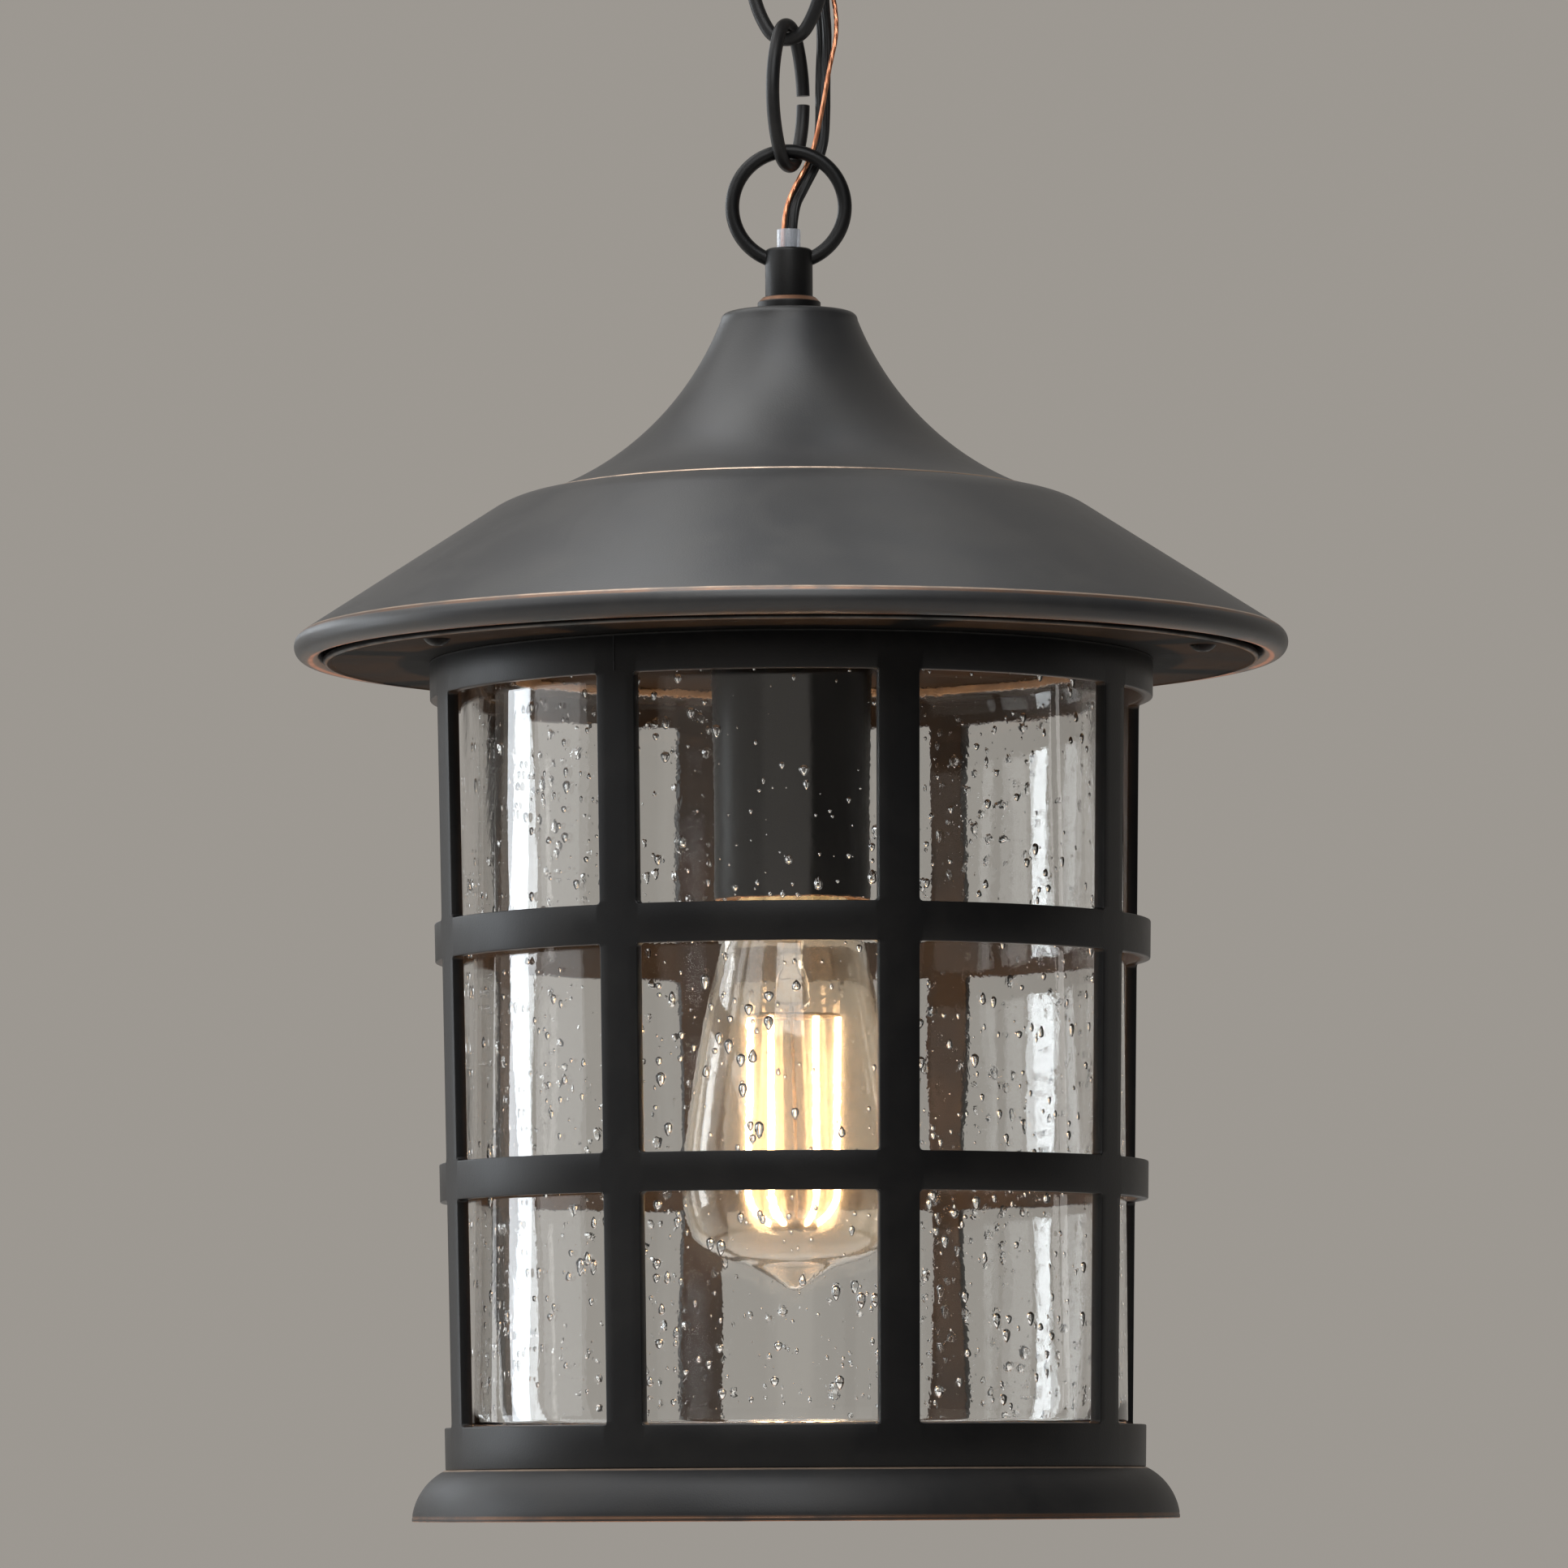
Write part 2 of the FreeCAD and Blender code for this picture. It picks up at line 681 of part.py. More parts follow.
def bulb_contact():
    """End contact on the insulator."""
    low = cap_z + cap_h + insulator_h
    return Part.makeCone(insulator_r - cap_wall, contact_tip_r, contact_tip_h, V(0, 0, low))


def inset(outline, wall):
    """Points of an outline moved inward by a wall's thickness."""
    moved = []
    ends = [outline[0]] + outline + [outline[-1]]
    for before, here, after in zip(ends, outline, ends[2:]):
        along = point(after[0] - before[0], after[1] - before[1]).normalize()
        moved.append((here[0] - along.z * wall, here[1] + along.x * wall))
    return moved


def envelope_solid(outline, tip_depth):
    """Solid of revolution under a bulb outline given as radius and depth below the cap's rim."""
    sides = [point(r, cap_z - depth) for r, depth in outline]
    curve = Part.BSplineCurve()
    curve.interpolate(sides)
    tip = point(0, cap_z - tip_depth)
    rim = sides[-1]
    tip_r = (rim.x ** 2 + (rim.z - tip.z) ** 2) / (2 * (rim.z - tip.z))
    half_turn = math.asin(rim.x / tip_r) / 2
    tip_middle = tip + point(math.sin(half_turn), 1 - math.cos(half_turn)) * tip_r
    mouth = point(sides[0].x, cap_z + cap_drop)
    axis_top = point(0, cap_z + cap_drop)
    return turned(flat_face([curve.toShape(), arc(rim, tip_middle, tip), line(tip, axis_top),
                             line(axis_top, mouth), line(mouth, sides[0])]))


def bulb_glass():
    """Drop-shaped envelope that tapers to the cap and ends in a small tip."""
    hollow = envelope_solid(inset(bulb_outline, bulb_wall), bulb_length - bulb_wall)
    return envelope_solid(bulb_outline, bulb_length).cut(hollow)


def bulb_stem():
    """Glass mount: flared skirt at the neck, tube and flat press that holds the filaments."""
    flare_r = neck_r - bulb_wall - thread_gap
    top = cap_z + cap_drop
    tube_low = cap_z - mount_depth + mount_press
    flare = turned(flat_face([line(point(0, top), point(flare_r, top)),
                              arc(point(flare_r, top), point(mount_r * 2, top - stem_flare_depth / 2),
                                  point(mount_r, top - stem_flare_depth)),
                              line(point(mount_r, top - stem_flare_depth), point(mount_r, tube_low)),
                              line(point(mount_r, tube_low), point(0, tube_low)),
                              line(point(0, tube_low), point(0, top))]))
    press = Part.makeBox(3 * mount_r, mount_r, mount_press,
                         V(-1.5 * mount_r, -mount_r / 2, cap_z - mount_depth))
    return flare.fuse(press).removeSplitter()


def filament_path(number):
    """Middle line of one filament: straight down, then bent in towards the axis."""
    way = polar(360 / filament_count * (number + 0.5))
    top = way * filament_top_r + UP * (cap_z - filament_top_depth)
    knee = top - UP * filament_straight
    centre = knee - way * filament_bend_r
    turns = [math.radians(filament_bend * share) for share in (0.5, 1)]
    middle, end = [centre + (way * math.cos(turn) - UP * math.sin(turn)) * filament_bend_r for turn in turns]
    return top, knee, middle, end


def rod(first, last, diameter):
    """Straight round rod between two points."""
    return Part.makeCylinder(diameter / 2, (last - first).Length, first, last - first)


def bulb_filaments():
    """Slim filaments, straight above and bent together towards the tip."""
    made = []
    for number in range(filament_count):
        top, knee, middle, end = filament_path(number)
        path = Part.Wire([line(top, knee), arc(knee, middle, end)])
        section = Part.Wire(Part.Circle(top, UP, filament_d / 2).toShape())
        made.append(path.makePipeShell([section], True, False))
    return Part.makeCompound(made)


def filament_supports():
    """Wire ring at the filaments' tops and a button at their lower ends, on a centre wire from the press."""
    top, _, _, end = filament_path(0)
    press_z = cap_z - mount_depth
    end_r = math.hypot(end.x, end.y)
    ring_z = top.z + support_d / 2
    body = rod(V(0, 0, press_z), V(0, 0, end.z - filament_d), support_d)
    body = body.fuse(Part.makeTorus(filament_top_r, support_d / 2, V(0, 0, ring_z)))
    for number in range(filament_count):
        way = polar(360 / filament_count * (number + 0.5))
        body = body.fuse(rod(V(0, 0, ring_z), way * filament_top_r + UP * ring_z, support_d))
    button = Part.makeCylinder(end_r + support_d, 2 * filament_d, V(0, 0, end.z - filament_d))
    return body.fuse(button.cut(bulb_filaments()))


def build():
    """All nodes of the lantern by name."""
    nodes = {
        "mounting_strap": mounting_strap(),
        "ground_screw": ground_screw(),
        "canopy": canopy(),
        "canopy_nipple": canopy_nipple(),
        "canopy_lock_nut": hex_nut(-strap_thick - nut_h),
        "canopy_collar": hanging(loop_collar(), -canopy_depth),
        "canopy_loop_stem": hanging(loop_stem(), -canopy_depth),
        "canopy_loop_ring": hanging(raised_ring(), -canopy_depth),
        "upper_link": chain_link(-chain_turn, upper_link_z),
        "lower_link": chain_link(90 - chain_turn, lower_link_z),
        "loop_collar": standing(loop_collar(), roof_top_z),
        "loop_stem": standing(loop_stem(), roof_top_z),
        "loop_ring": standing(raised_ring(), roof_top_z),
        "wire_sleeve": tube(sleeve_r - sleeve_wall, sleeve_r, stem_tip - sleeve_in, stem_tip + sleeve_out),
        "roof": roof(),
        "roof_nipple": tube(nipple_bore_r, nipple_r, socket_top - nipple_in_socket,
                            roof_top_z + collar_h + nipple_in_stem),
        "roof_washer": tube(nipple_r + thread_gap, washer_r, roof_top_z - roof_wall - washer_h,
                            roof_top_z - roof_wall),
        "roof_nut": hex_nut(roof_top_z - roof_wall - washer_h - nut_h),
        "soffit_plate": soffit_plate(),
        "soffit_screws": soffit_screws(),
        "cage": cage(),
        "base_ring": base_ring(),
        "glass_tube": glass_tube(),
        "glass_gasket": glass_gasket(),
        "glass_pad": glass_pad(),
        "socket_cover": socket_cover(),
        "socket_nut": hex_nut(soffit_z - cover_wall - nut_h),
        "socket_body": socket_body(),
        "socket_shell": socket_shell(),
        "socket_contact": socket_contact(),
        "bulb_cap": bulb_cap(),
        "bulb_insulator": bulb_insulator(),
        "bulb_contact": bulb_contact(),
        "bulb_glass": bulb_glass(),
        "bulb_stem": bulb_stem(),
        "bulb_filaments": bulb_filaments(),
        "filament_supports": filament_supports(),
    }
    nodes.update(wires())
    return nodes


os.makedirs("parts", exist_ok=True)
for node, shape in build().items():
    shape.exportStep(os.path.join("parts", node + ".step"))
    print(node, "solids", len(shape.Solids), "volume", round(shape.Volume, 1), "valid", shape.isValid())
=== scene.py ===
"""Outdoor hanging lantern: finishes, wires, stage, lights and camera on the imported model."""

import logging
import math
from dataclasses import dataclass
from enum import Enum
from typing import Callable, Iterable, Sequence

import bmesh
import bpy
from bpy.types import Material, Node, NodeSocket, NodeTree, Object
from mathutils import Matrix, Vector


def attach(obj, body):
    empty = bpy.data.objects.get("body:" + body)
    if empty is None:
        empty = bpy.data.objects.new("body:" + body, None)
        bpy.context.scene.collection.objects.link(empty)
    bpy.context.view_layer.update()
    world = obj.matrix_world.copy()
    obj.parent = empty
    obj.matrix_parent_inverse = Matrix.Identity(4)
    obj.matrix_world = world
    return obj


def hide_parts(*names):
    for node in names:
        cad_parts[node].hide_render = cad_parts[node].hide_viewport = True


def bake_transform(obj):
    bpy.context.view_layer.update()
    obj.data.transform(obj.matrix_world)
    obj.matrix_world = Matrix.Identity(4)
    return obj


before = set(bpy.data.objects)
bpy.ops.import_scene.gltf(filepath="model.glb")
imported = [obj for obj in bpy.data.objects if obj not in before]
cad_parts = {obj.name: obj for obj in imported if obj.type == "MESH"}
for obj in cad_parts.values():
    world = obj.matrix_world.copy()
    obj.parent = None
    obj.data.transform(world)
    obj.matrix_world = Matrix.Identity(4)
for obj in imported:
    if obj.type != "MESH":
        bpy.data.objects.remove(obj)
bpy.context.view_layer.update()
LOG = logging.getLogger("lantern")
MM = 0.001

# Spans round the axis of large, middling and small turned pieces
LARGE_SIDES = 224
ROUND_SIDES = 160
SMALL_SIDES = 96

# Largest share of an outline's side that one rounding takes
ROUNDING_SHARE = 0.48

# Depth of the fine relief on surfaces, in metres
RELIEF = 0.0002

Pair = tuple[float, float]
Corner = tuple[float, float, float]
Place = tuple[float, float, float]
Colour = tuple[float, float, float]
Ripple = Callable[[float, float, float], float]


class Body(Enum):
    """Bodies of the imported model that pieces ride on."""

    CEILING = "ceiling"
    UPPER_LINK = "upper_link"
    LOWER_LINK = "lower_link"
    LANTERN = "lantern"
    BULB = "bulb"


# Outlines

def arc_points(centre: Pair, radius: float, first: float, last: float, steps: int) -> list[Pair]:
    """Points along a circular arc.

    Args:
        centre: Middle of the arc.
        radius: Radius of the arc.
        first: Angle of the first point in degrees.
        last: Angle of the last point in degrees.
        steps: Number of spans.

    Returns:
        The arc's points, both ends included.
    """
    turns = [math.radians(first + (last - first) * k / steps) for k in range(steps + 1)]
    return [(centre[0] + radius * math.cos(turn), centre[1] + radius * math.sin(turn)) for turn in turns]


def arc_between(middle: Vector, first: Vector, last: Vector, radius: float, steps: int) -> list[Pair]:
    """Shorter arc about a middle, from the side of one point to the side of another.

    Args:
        middle: Middle of the arc.
        first: Point on the side where the arc starts.
        last: Point on the side where the arc ends.
        radius: Radius of the arc.
        steps: Number of spans.

    Returns:
        The arc's points, both ends included.
    """
    start = math.atan2(first.y - middle.y, first.x - middle.x)
    end = math.atan2(last.y - middle.y, last.x - middle.x)
    turn = (end - start + math.pi) % (2 * math.pi) - math.pi
    return arc_points(middle[:], radius, math.degrees(start), math.degrees(start + turn), steps)


def rounded(corners: Sequence[Corner], steps: int = 5) -> list[Pair]:
    """Closed outline with rounded corners.

    Args:
        corners: Radius, height and rounding of each corner.
        steps: Spans in each rounding.

    Returns:
        Points of the outline.
    """
    points: list[Pair] = []
    for number, (x, z, size) in enumerate(corners):
        if size <= 0:
            points.append((x, z))
            continue
        here = Vector((x, z))
        before = Vector(corners[number - 1][:2]) - here
        after = Vector(corners[(number + 1) % len(corners)][:2]) - here
        half = before.angle(after) / 2
        reach = min(size / math.tan(half), ROUNDING_SHARE * before.length, ROUNDING_SHARE * after.length)
        size = reach * math.tan(half)
        before.normalize()
        after.normalize()
        middle = here + (before + after).normalized() * (size / math.sin(half))
        points += arc_between(middle, here + before * reach, here + after * reach, size, steps)
    return points


def bow(first: Vector, last: Vector, rise: float, steps: int) -> list[Pair]:
    """Arc between two points of an outline.

    Args:
        first: First end.
        last: Last end.
        rise: Bulge at the middle, away from the axis, or towards it where it is negative.
        steps: Number of spans.

    Returns:
        The arc's points, both ends included.
    """
    chord = last - first
    radius = (chord.length ** 2 / 4 + rise ** 2) / (2 * rise)
    outward = Vector((-chord.y, chord.x)).normalized()
    if outward.x < 0:
        outward = -outward
    middle = (first + last) / 2 + outward * (rise - radius)
    return arc_between(middle, first, last, abs(radius), steps)


def smooth_line(points: Sequence[Pair], steps: int) -> list[Pair]:
    """Smooth curve through points, ends included.

    Args:
        points: Points that the curve passes.
        steps: Spans between two points.

    Returns:
        Points along the curve.
    """
    ends = [points[0], *points, points[-1]]
    line: list[Pair] = []
    for near in zip(ends, ends[1:], ends[2:], ends[3:]):
        for k in range(steps):
            t = k / steps
            weights = (-t + 2 * t ** 2 - t ** 3, 2 - 5 * t ** 2 + 3 * t ** 3,
                       t + 4 * t ** 2 - 3 * t ** 3, t ** 3 - t ** 2)
            line.append(tuple(sum(w * p[axis] for w, p in zip(weights, near)) / 2 for axis in (0, 1)))
    return [*line, points[-1]]


def offset_line(points: Sequence[Pair], gap: float) -> list[Pair]:
    """Line beside another one.

    Args:
        points: Points of the first line.
        gap: Distance to the right of its course.

    Returns:
        One point beside each given one.
    """
    beside = []
    for number, here in enumerate(points):
        before = Vector(points[max(number - 1, 0)])
        after = Vector(points[min(number + 1, len(points) - 1)])
        way = (after - before).normalized()
        beside.append((here[0] + way.y * gap, here[1] - way.x * gap))
    return beside


def upright(points: Iterable[Pair]) -> list[Vector]:
    """Points of the upright XZ plane, from millimetres to metres."""
    return [Vector((x * MM, 0, z * MM)) for x, z in points]


def spline_points(route: Sequence[Sequence[float]], resolution: int) -> list[Vector]:
    """Points along a smooth line that a route's points steer.

    Args:
        route: Control points in millimetres.
        resolution: Spans for each control point.

    Returns:
        Points of the line in metres.
    """
    data = bpy.data.curves.new("route", "CURVE")
    data.dimensions = "3D"
    spline = data.splines.new("NURBS")
    spline.points.add(len(route) - 1)
    for target, place in zip(spline.points, route):
        target.co = (place[0] * MM, place[1] * MM, place[2] * MM, 1.0)
    spline.order_u = 3
    spline.use_endpoint_u = True
    spline.resolution_u = resolution
    holder = bpy.data.objects.new("route", data)
    bpy.context.scene.collection.objects.link(holder)
    graph = bpy.context.evaluated_depsgraph_get()
    mesh = bpy.data.meshes.new_from_object(holder.evaluated_get(graph), depsgraph=graph)
    points = [vertex.co.copy() for vertex in mesh.vertices]
    bpy.data.meshes.remove(mesh)
    bpy.data.objects.remove(holder)
    bpy.data.curves.remove(data)
    return points


# Meshes

def finished(name: str, shape: bmesh.types.BMesh, sharp: float = 38.0) -> Object:
    """Turn a bmesh into an object of the scene, smooth but for its sharp edges.

    Args:
        name: Name of the piece.
        shape: The mesh in metres, freed here.
        sharp: Angle in degrees from which an edge stays sharp.

    Returns:
        The new object.
    """
    bmesh.ops.recalc_face_normals(shape, faces=shape.faces)
    mesh = bpy.data.meshes.new(name)
    shape.to_mesh(mesh)
    shape.free()
    mesh.shade_smooth()
    mesh.set_sharp_from_angle(angle=math.radians(sharp))
    obj = bpy.data.objects.new(name, mesh)
    bpy.context.scene.collection.objects.link(obj)
    return obj


def lathe(name: str, outline: Sequence[Pair], sides: int = ROUND_SIDES, closed: bool = True,
          ripple: Ripple | None = None) -> Object:
    """Turn an outline about the Z axis.

    Args:
        name: Name of the piece.
        outline: Radius and height of each point in millimetres.
        sides: Spans round the axis.
        closed: Whether the last point joins the first.
        ripple: Change of the radius by turn, radius and height.

    Returns:
        The turned piece.
    """
    shape = bmesh.new()
    rings = []
    for r, z in outline:
        if r < 1e-6:
            rings.append([shape.verts.new((0, 0, z * MM))])
            continue
        ring = []
        for k in range(sides):
            turn = 2 * math.pi * k / sides
            reach = r + (ripple(turn, r, z) if ripple else 0.0)
            ring.append(shape.verts.new((reach * math.cos(turn) * MM, reach * math.sin(turn) * MM, z * MM)))
        rings.append(ring)
    following = rings[1:] + rings[:1] if closed else rings[1:]
    for low, high in zip(rings, following):
        for k in range(sides):
            after = (k + 1) % sides
            corners = [low[k % len(low)], low[after % len(low)], high[after % len(high)], high[k % len(high)]]
            corners = list(dict.fromkeys(corners))
            if len(corners) > 2:
                shape.faces.new(corners)
    return finished(name, shape)


def tube_along(name: str, points: Sequence[Vector], radius: float | Callable[[float, float], float],
               sides: int) -> Object:
    """Closed tube along a line.

    Args:
        name: Name of the piece.
        points: Middle line in metres.
        radius: Radius in millimetres, or a rule for it by turn in radians and distance in millimetres.
        sides: Spans round the tube.

    Returns:
        The tube.
    """
    shape = bmesh.new()
    rings = []
    gone = 0.0
    ahead = (points[1] - points[0]).normalized()
    side = ahead.orthogonal().normalized()
    for number, here in enumerate(points):
        before = points[max(number - 1, 0)]
        after = points[min(number + 1, len(points) - 1)]
        way = (after - before).normalized()
        side = (ahead.rotation_difference(way) @ side).normalized()
        side = (side - way * side.dot(way)).normalized()
        ahead = way
        gone += (here - before).length / MM
        cross = way.cross(side)
        ring = []
        for k in range(sides):
            turn = 2 * math.pi * k / sides
            reach = (radius(turn, gone) if callable(radius) else radius) * MM
            ring.append(shape.verts.new(here + (side * math.cos(turn) + cross * math.sin(turn)) * reach))
        rings.append(ring)
    for low, high in zip(rings, rings[1:]):
        for k in range(sides):
            shape.faces.new((low[k], low[(k + 1) % sides], high[(k + 1) % sides], high[k]))
    shape.faces.new(rings[0])
    shape.faces.new(rings[-1])
    return finished(name, shape, 60.0)


def baked(obj: Object) -> Object:
    """Turn an object's modifiers into a plain mesh.

    Args:
        obj: Object with modifiers.

    Returns:
        The same object with its finished mesh.
    """
    graph = bpy.context.evaluated_depsgraph_get()
    obj.data = bpy.data.meshes.new_from_object(obj.evaluated_get(graph), depsgraph=graph)
    obj.modifiers.clear()
    return obj


def dress(obj: Object, material: Material, body: Body, nodes: Iterable[str] = ()) -> None:
    """Give a new piece its finish and body, hide the nodes that it stands for, and log it.

    Args:
        obj: The piece.
        material: Its material.
        body: Body that it rides on.
        nodes: Nodes of the model that it stands for.
    """
    obj.data.materials.clear()
    obj.data.materials.append(material)
    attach(obj, body.value)
    if nodes:
        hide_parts(*nodes)
    LOG.info("%s on %s, %d faces", obj.name, body.value, len(obj.data.polygons))


def dress_nodes(material: Material, *names: str) -> None:
    """Give nodes of the model their material.

    Args:
        material: The material.
        names: Names of the nodes.
    """
    for name in names:
        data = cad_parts[name].data
        data.materials.clear()
        data.materials.append(material)
        LOG.info("%s keeps its solid", name)


# Node trees

class Tree:
    """Node tree with short calls for its nodes and links."""

    def __init__(self, tree: NodeTree) -> None:
        """Keep the tree that nodes are added to."""
        self.tree = tree

    def add(self, kind: str, values: dict | None = None, **settings: object) -> Node:
        """Add a node.

        Args:
            kind: Type name of the node.
            values: Sockets by name or number, each with a value or another socket.
            settings: Properties of the node.

        Returns:
            The new node.
        """
        node = self.tree.nodes.new(kind)
        for key, value in settings.items():
            setattr(node, key, value)
        self.fill(node, values or {})
        return node

    def fill(self, node: Node, values: dict) -> None:
        """Link a node's inputs to other sockets, or set their values.

        Args:
            node: The node.
            values: Sockets by name or number, each with a value or another socket.
        """
        for key, value in values.items():
            socket = node.inputs[key]
            if isinstance(value, NodeSocket):
                self.tree.links.new(value, socket)
            elif socket.type == "RGBA" and len(value) == 3:
                socket.default_value = (*value, 1.0)
            else:
                socket.default_value = value

    def calc(self, operation: str, *terms: object) -> NodeSocket:
        """Result of a Math node."""
        return self.add("ShaderNodeMath", dict(enumerate(terms)), operation=operation).outputs[0]

    def span(self, first: NodeSocket, second: NodeSocket) -> NodeSocket:
        """Length of two parts at a right angle."""
        squares = [self.calc("MULTIPLY", part, part) for part in (first, second)]
        return self.calc("SQRT", self.calc("ADD", *squares))

    def split(self, vector: NodeSocket) -> tuple[NodeSocket, ...]:
        """Three parts of a vector."""
        return tuple(self.add("ShaderNodeSeparateXYZ", {0: vector}).outputs)

    def join(self, x: object = 0.0, y: object = 0.0, z: object = 0.0) -> NodeSocket:
        """Vector of three parts."""
        return self.add("ShaderNodeCombineXYZ", {0: x, 1: y, 2: z}).outputs[0]

    def blend(self, share: object, first: object, second: object) -> NodeSocket:
        """Colour between two colours."""
        return self.add("ShaderNodeMix", {0: share, 6: first, 7: second}, data_type="RGBA").outputs[2]

    def ramp(self, value: object, low: float, high: float, first: float = 0.0,
             last: float = 1.0) -> NodeSocket:
        """Soft step of a value from low to high."""
        terms = {"Value": value, "From Min": low, "From Max": high, "To Min": first, "To Max": last}
        return self.add("ShaderNodeMapRange", terms, interpolation_type="SMOOTHSTEP").outputs[0]

    def noise(self, place: NodeSocket, scale: object, detail: float, **values: float) -> NodeSocket:
        """Cloudy value over the surface."""
        terms = {"Vector": place, "Scale": scale, "Detail": detail, **values}
        return self.add("ShaderNodeTexNoise", terms).outputs[0]

    def bump(self, height: NodeSocket, strength: float, depth: float) -> NodeSocket:
        """Normal of a fine relief."""
        terms = {"Height": height, "Strength": strength, "Distance": depth}
        return self.add("ShaderNodeBump", terms).outputs[0]

    def group(self, name: str, values: dict | None = None) -> Node:
        """Place a shared node group with its own values."""
        return self.add("ShaderNodeGroup", values, node_tree=bpy.data.node_groups[name])

    def chance(self, seed: int, least: float = 0.0, most: float = 1.0) -> NodeSocket:
        """Random value for each point."""
        terms = {2: least, 3: most, "Seed": seed}
        return self.add("FunctionNodeRandomValue", terms, data_type="FLOAT").outputs[1]

    def copies(self, points: NodeSocket, piece: NodeSocket, turns: NodeSocket,
               **more: NodeSocket) -> NodeSocket:
        """Real copies of a piece on points.

        Args:
            points: The points.
            piece: Geometry to copy.
            turns: Turn about each axis in radians.
            more: Further inputs of the copies by name.

        Returns:
            Geometry of all copies.
        """
        turned = self.add("FunctionNodeEulerToRotation", {0: turns}).outputs[0]
        terms = {"Points": points, "Instance": piece, "Rotation": turned, **more}
        placed = self.add("GeometryNodeInstanceOnPoints", terms)
        return self.add("GeometryNodeRealizeInstances", {0: placed.outputs[0]}).outputs[0]

    def give(self, geometry: NodeSocket, material: NodeSocket) -> None:
        """End a Geometry Nodes tree with its material."""
        named = self.add("GeometryNodeSetMaterial", {"Geometry": geometry, "Material": material})
        self.add("NodeGroupOutput", {0: named.outputs[0]})


def shader_group(name: str, inputs: dict[str, float], outputs: Sequence[str]) -> tuple[Tree, dict, Node]:
    """Start a shader node group of plain values.

    Args:
        name: Name of the group.
        inputs: Default of each input by name.
        outputs: Names of the outputs.

    Returns:
        The tree, its input sockets by name and its output node.
    """
    group = bpy.data.node_groups.new(name, "ShaderNodeTree")
    for key, value in inputs.items():
        group.interface.new_socket(key, in_out="INPUT", socket_type="NodeSocketFloat").default_value = value
    for key in outputs:
        group.interface.new_socket(key, in_out="OUTPUT", socket_type="NodeSocketFloat")
    tree = Tree(group)
    source = tree.add("NodeGroupInput")
    return tree, {key: source.outputs[key] for key in inputs}, tree.add("NodeGroupOutput")


def geometry_tree(name: str, inputs: dict[str, str]) -> tuple[Tree, dict]:
    """Start a Geometry Nodes tree.

    Args:
        name: Name of the tree.
        inputs: Kind of each input by name.

    Returns:
        The tree and its input sockets by name.
    """
    group = bpy.data.node_groups.new(name, "GeometryNodeTree")
    for key, kind in inputs.items():
        group.interface.new_socket(key, in_out="INPUT", socket_type="NodeSocket" + kind)
    group.interface.new_socket("Result", in_out="OUTPUT", socket_type="NodeSocketGeometry")
    tree = Tree(group)
    source = tree.add("NodeGroupInput")
    return tree, {key: source.outputs[key] for key in inputs}


def apply_tree(obj: Object, tree: NodeTree, values: dict) -> Object:
    """Run a Geometry Nodes tree on an object and keep its result.

    Args:
        obj: Object that gives the tree its geometry.
        tree: The tree.
        values: Inputs by name.

    Returns:
        The object with the result as a plain mesh.
    """
    modifier = obj.modifiers.new(tree.name, "NODES")
    modifier.node_group = tree
    for item in tree.interface.items_tree:
        if item.in_out == "INPUT" and item.name in values:
            modifier[item.identifier] = values[item.name]
    return baked(obj)


def satin_coat_group() -> None:
    """Make the group for the cloudy colour and fine grain of a sprayed and rubbed coat."""
    tree, given, out = shader_group("satin_coat", {"Mottle Scale": 45.0, "Grain Scale": 2200.0},
                                    ("Mottle", "Grain"))
    place = tree.add("ShaderNodeTexCoord").outputs["Object"]
    cloud = tree.noise(place, given["Mottle Scale"], 5.0, Roughness=0.62, Distortion=0.4)
    grain = tree.noise(place, given["Grain Scale"], 2.0)
    tree.fill(out, {"Mottle": tree.ramp(cloud, 0.36, 0.66), "Grain": grain})


def wear_and_highlight_ring_group() -> None:
    """Make the group for a broken ring about the axis, which marks rubbed-through edges and painted edge
    highlights.
    """
    tree, given, out = shader_group("wear_and_highlight_ring", {"Radius": 0.1, "Height": 0.0, "Width": 0.001}, ("Mask",))
    place = tree.add("ShaderNodeTexCoord").outputs["Object"]
    x, y, z = tree.split(place)
    off = tree.calc("SUBTRACT", tree.span(x, y), given["Radius"])
    rise = tree.calc("SUBTRACT", z, given["Height"])
    near = tree.ramp(tree.calc("DIVIDE", tree.span(off, rise), given["Width"]), 1.0, 0.35)
    worn = tree.ramp(tree.noise(place, 95.0, 4.0, Roughness=0.6), 0.3, 0.62, 0.35, 1.0)
    tree.fill(out, {"Mask": tree.calc("MULTIPLY", near, worn)})


# Finishes

def new_material(name: str) -> tuple[Material, Tree, Node, Node]:
    """Start a material.

    Args:
        name: Name of the finish.

    Returns:
        The material, its tree, its Principled node and its output node.
    """
    material = bpy.data.materials.new(name)
    material.use_nodes = True
    material.node_tree.nodes.clear()
    tree = Tree(material.node_tree)
    shader = tree.add("ShaderNodeBsdfPrincipled")
    out = tree.add("ShaderNodeOutputMaterial", {"Surface": shader.outputs[0]})
    return material, tree, shader, out


def clouded(name: str, colours: Sequence[Colour], scale: float, rough: Pair, relief: float,
            plain: dict[str, float]) -> Material:
    """Surface of two colours that cloud into each other, over a fine grain.

    Args:
        name: Name of the finish.
        colours: The two colours.
        scale: Fineness of the clouds.
        rough: Roughness in the one colour and in the other.
        relief: Strength of the grain.
        plain: Values of the shader that are the same all over.

    Returns:
        The material.
    """
    made, tree, shader, _ = new_material(name)
    mottle, grain = tree.group("satin_coat", {"Mottle Scale": scale}).outputs
    tree.fill(shader, {"Base Color": tree.blend(mottle, *colours),
                       "Roughness": tree.ramp(mottle, 0.0, 1.0, *rough),
                       "Normal": tree.bump(grain, relief, RELIEF), **plain})
    return made


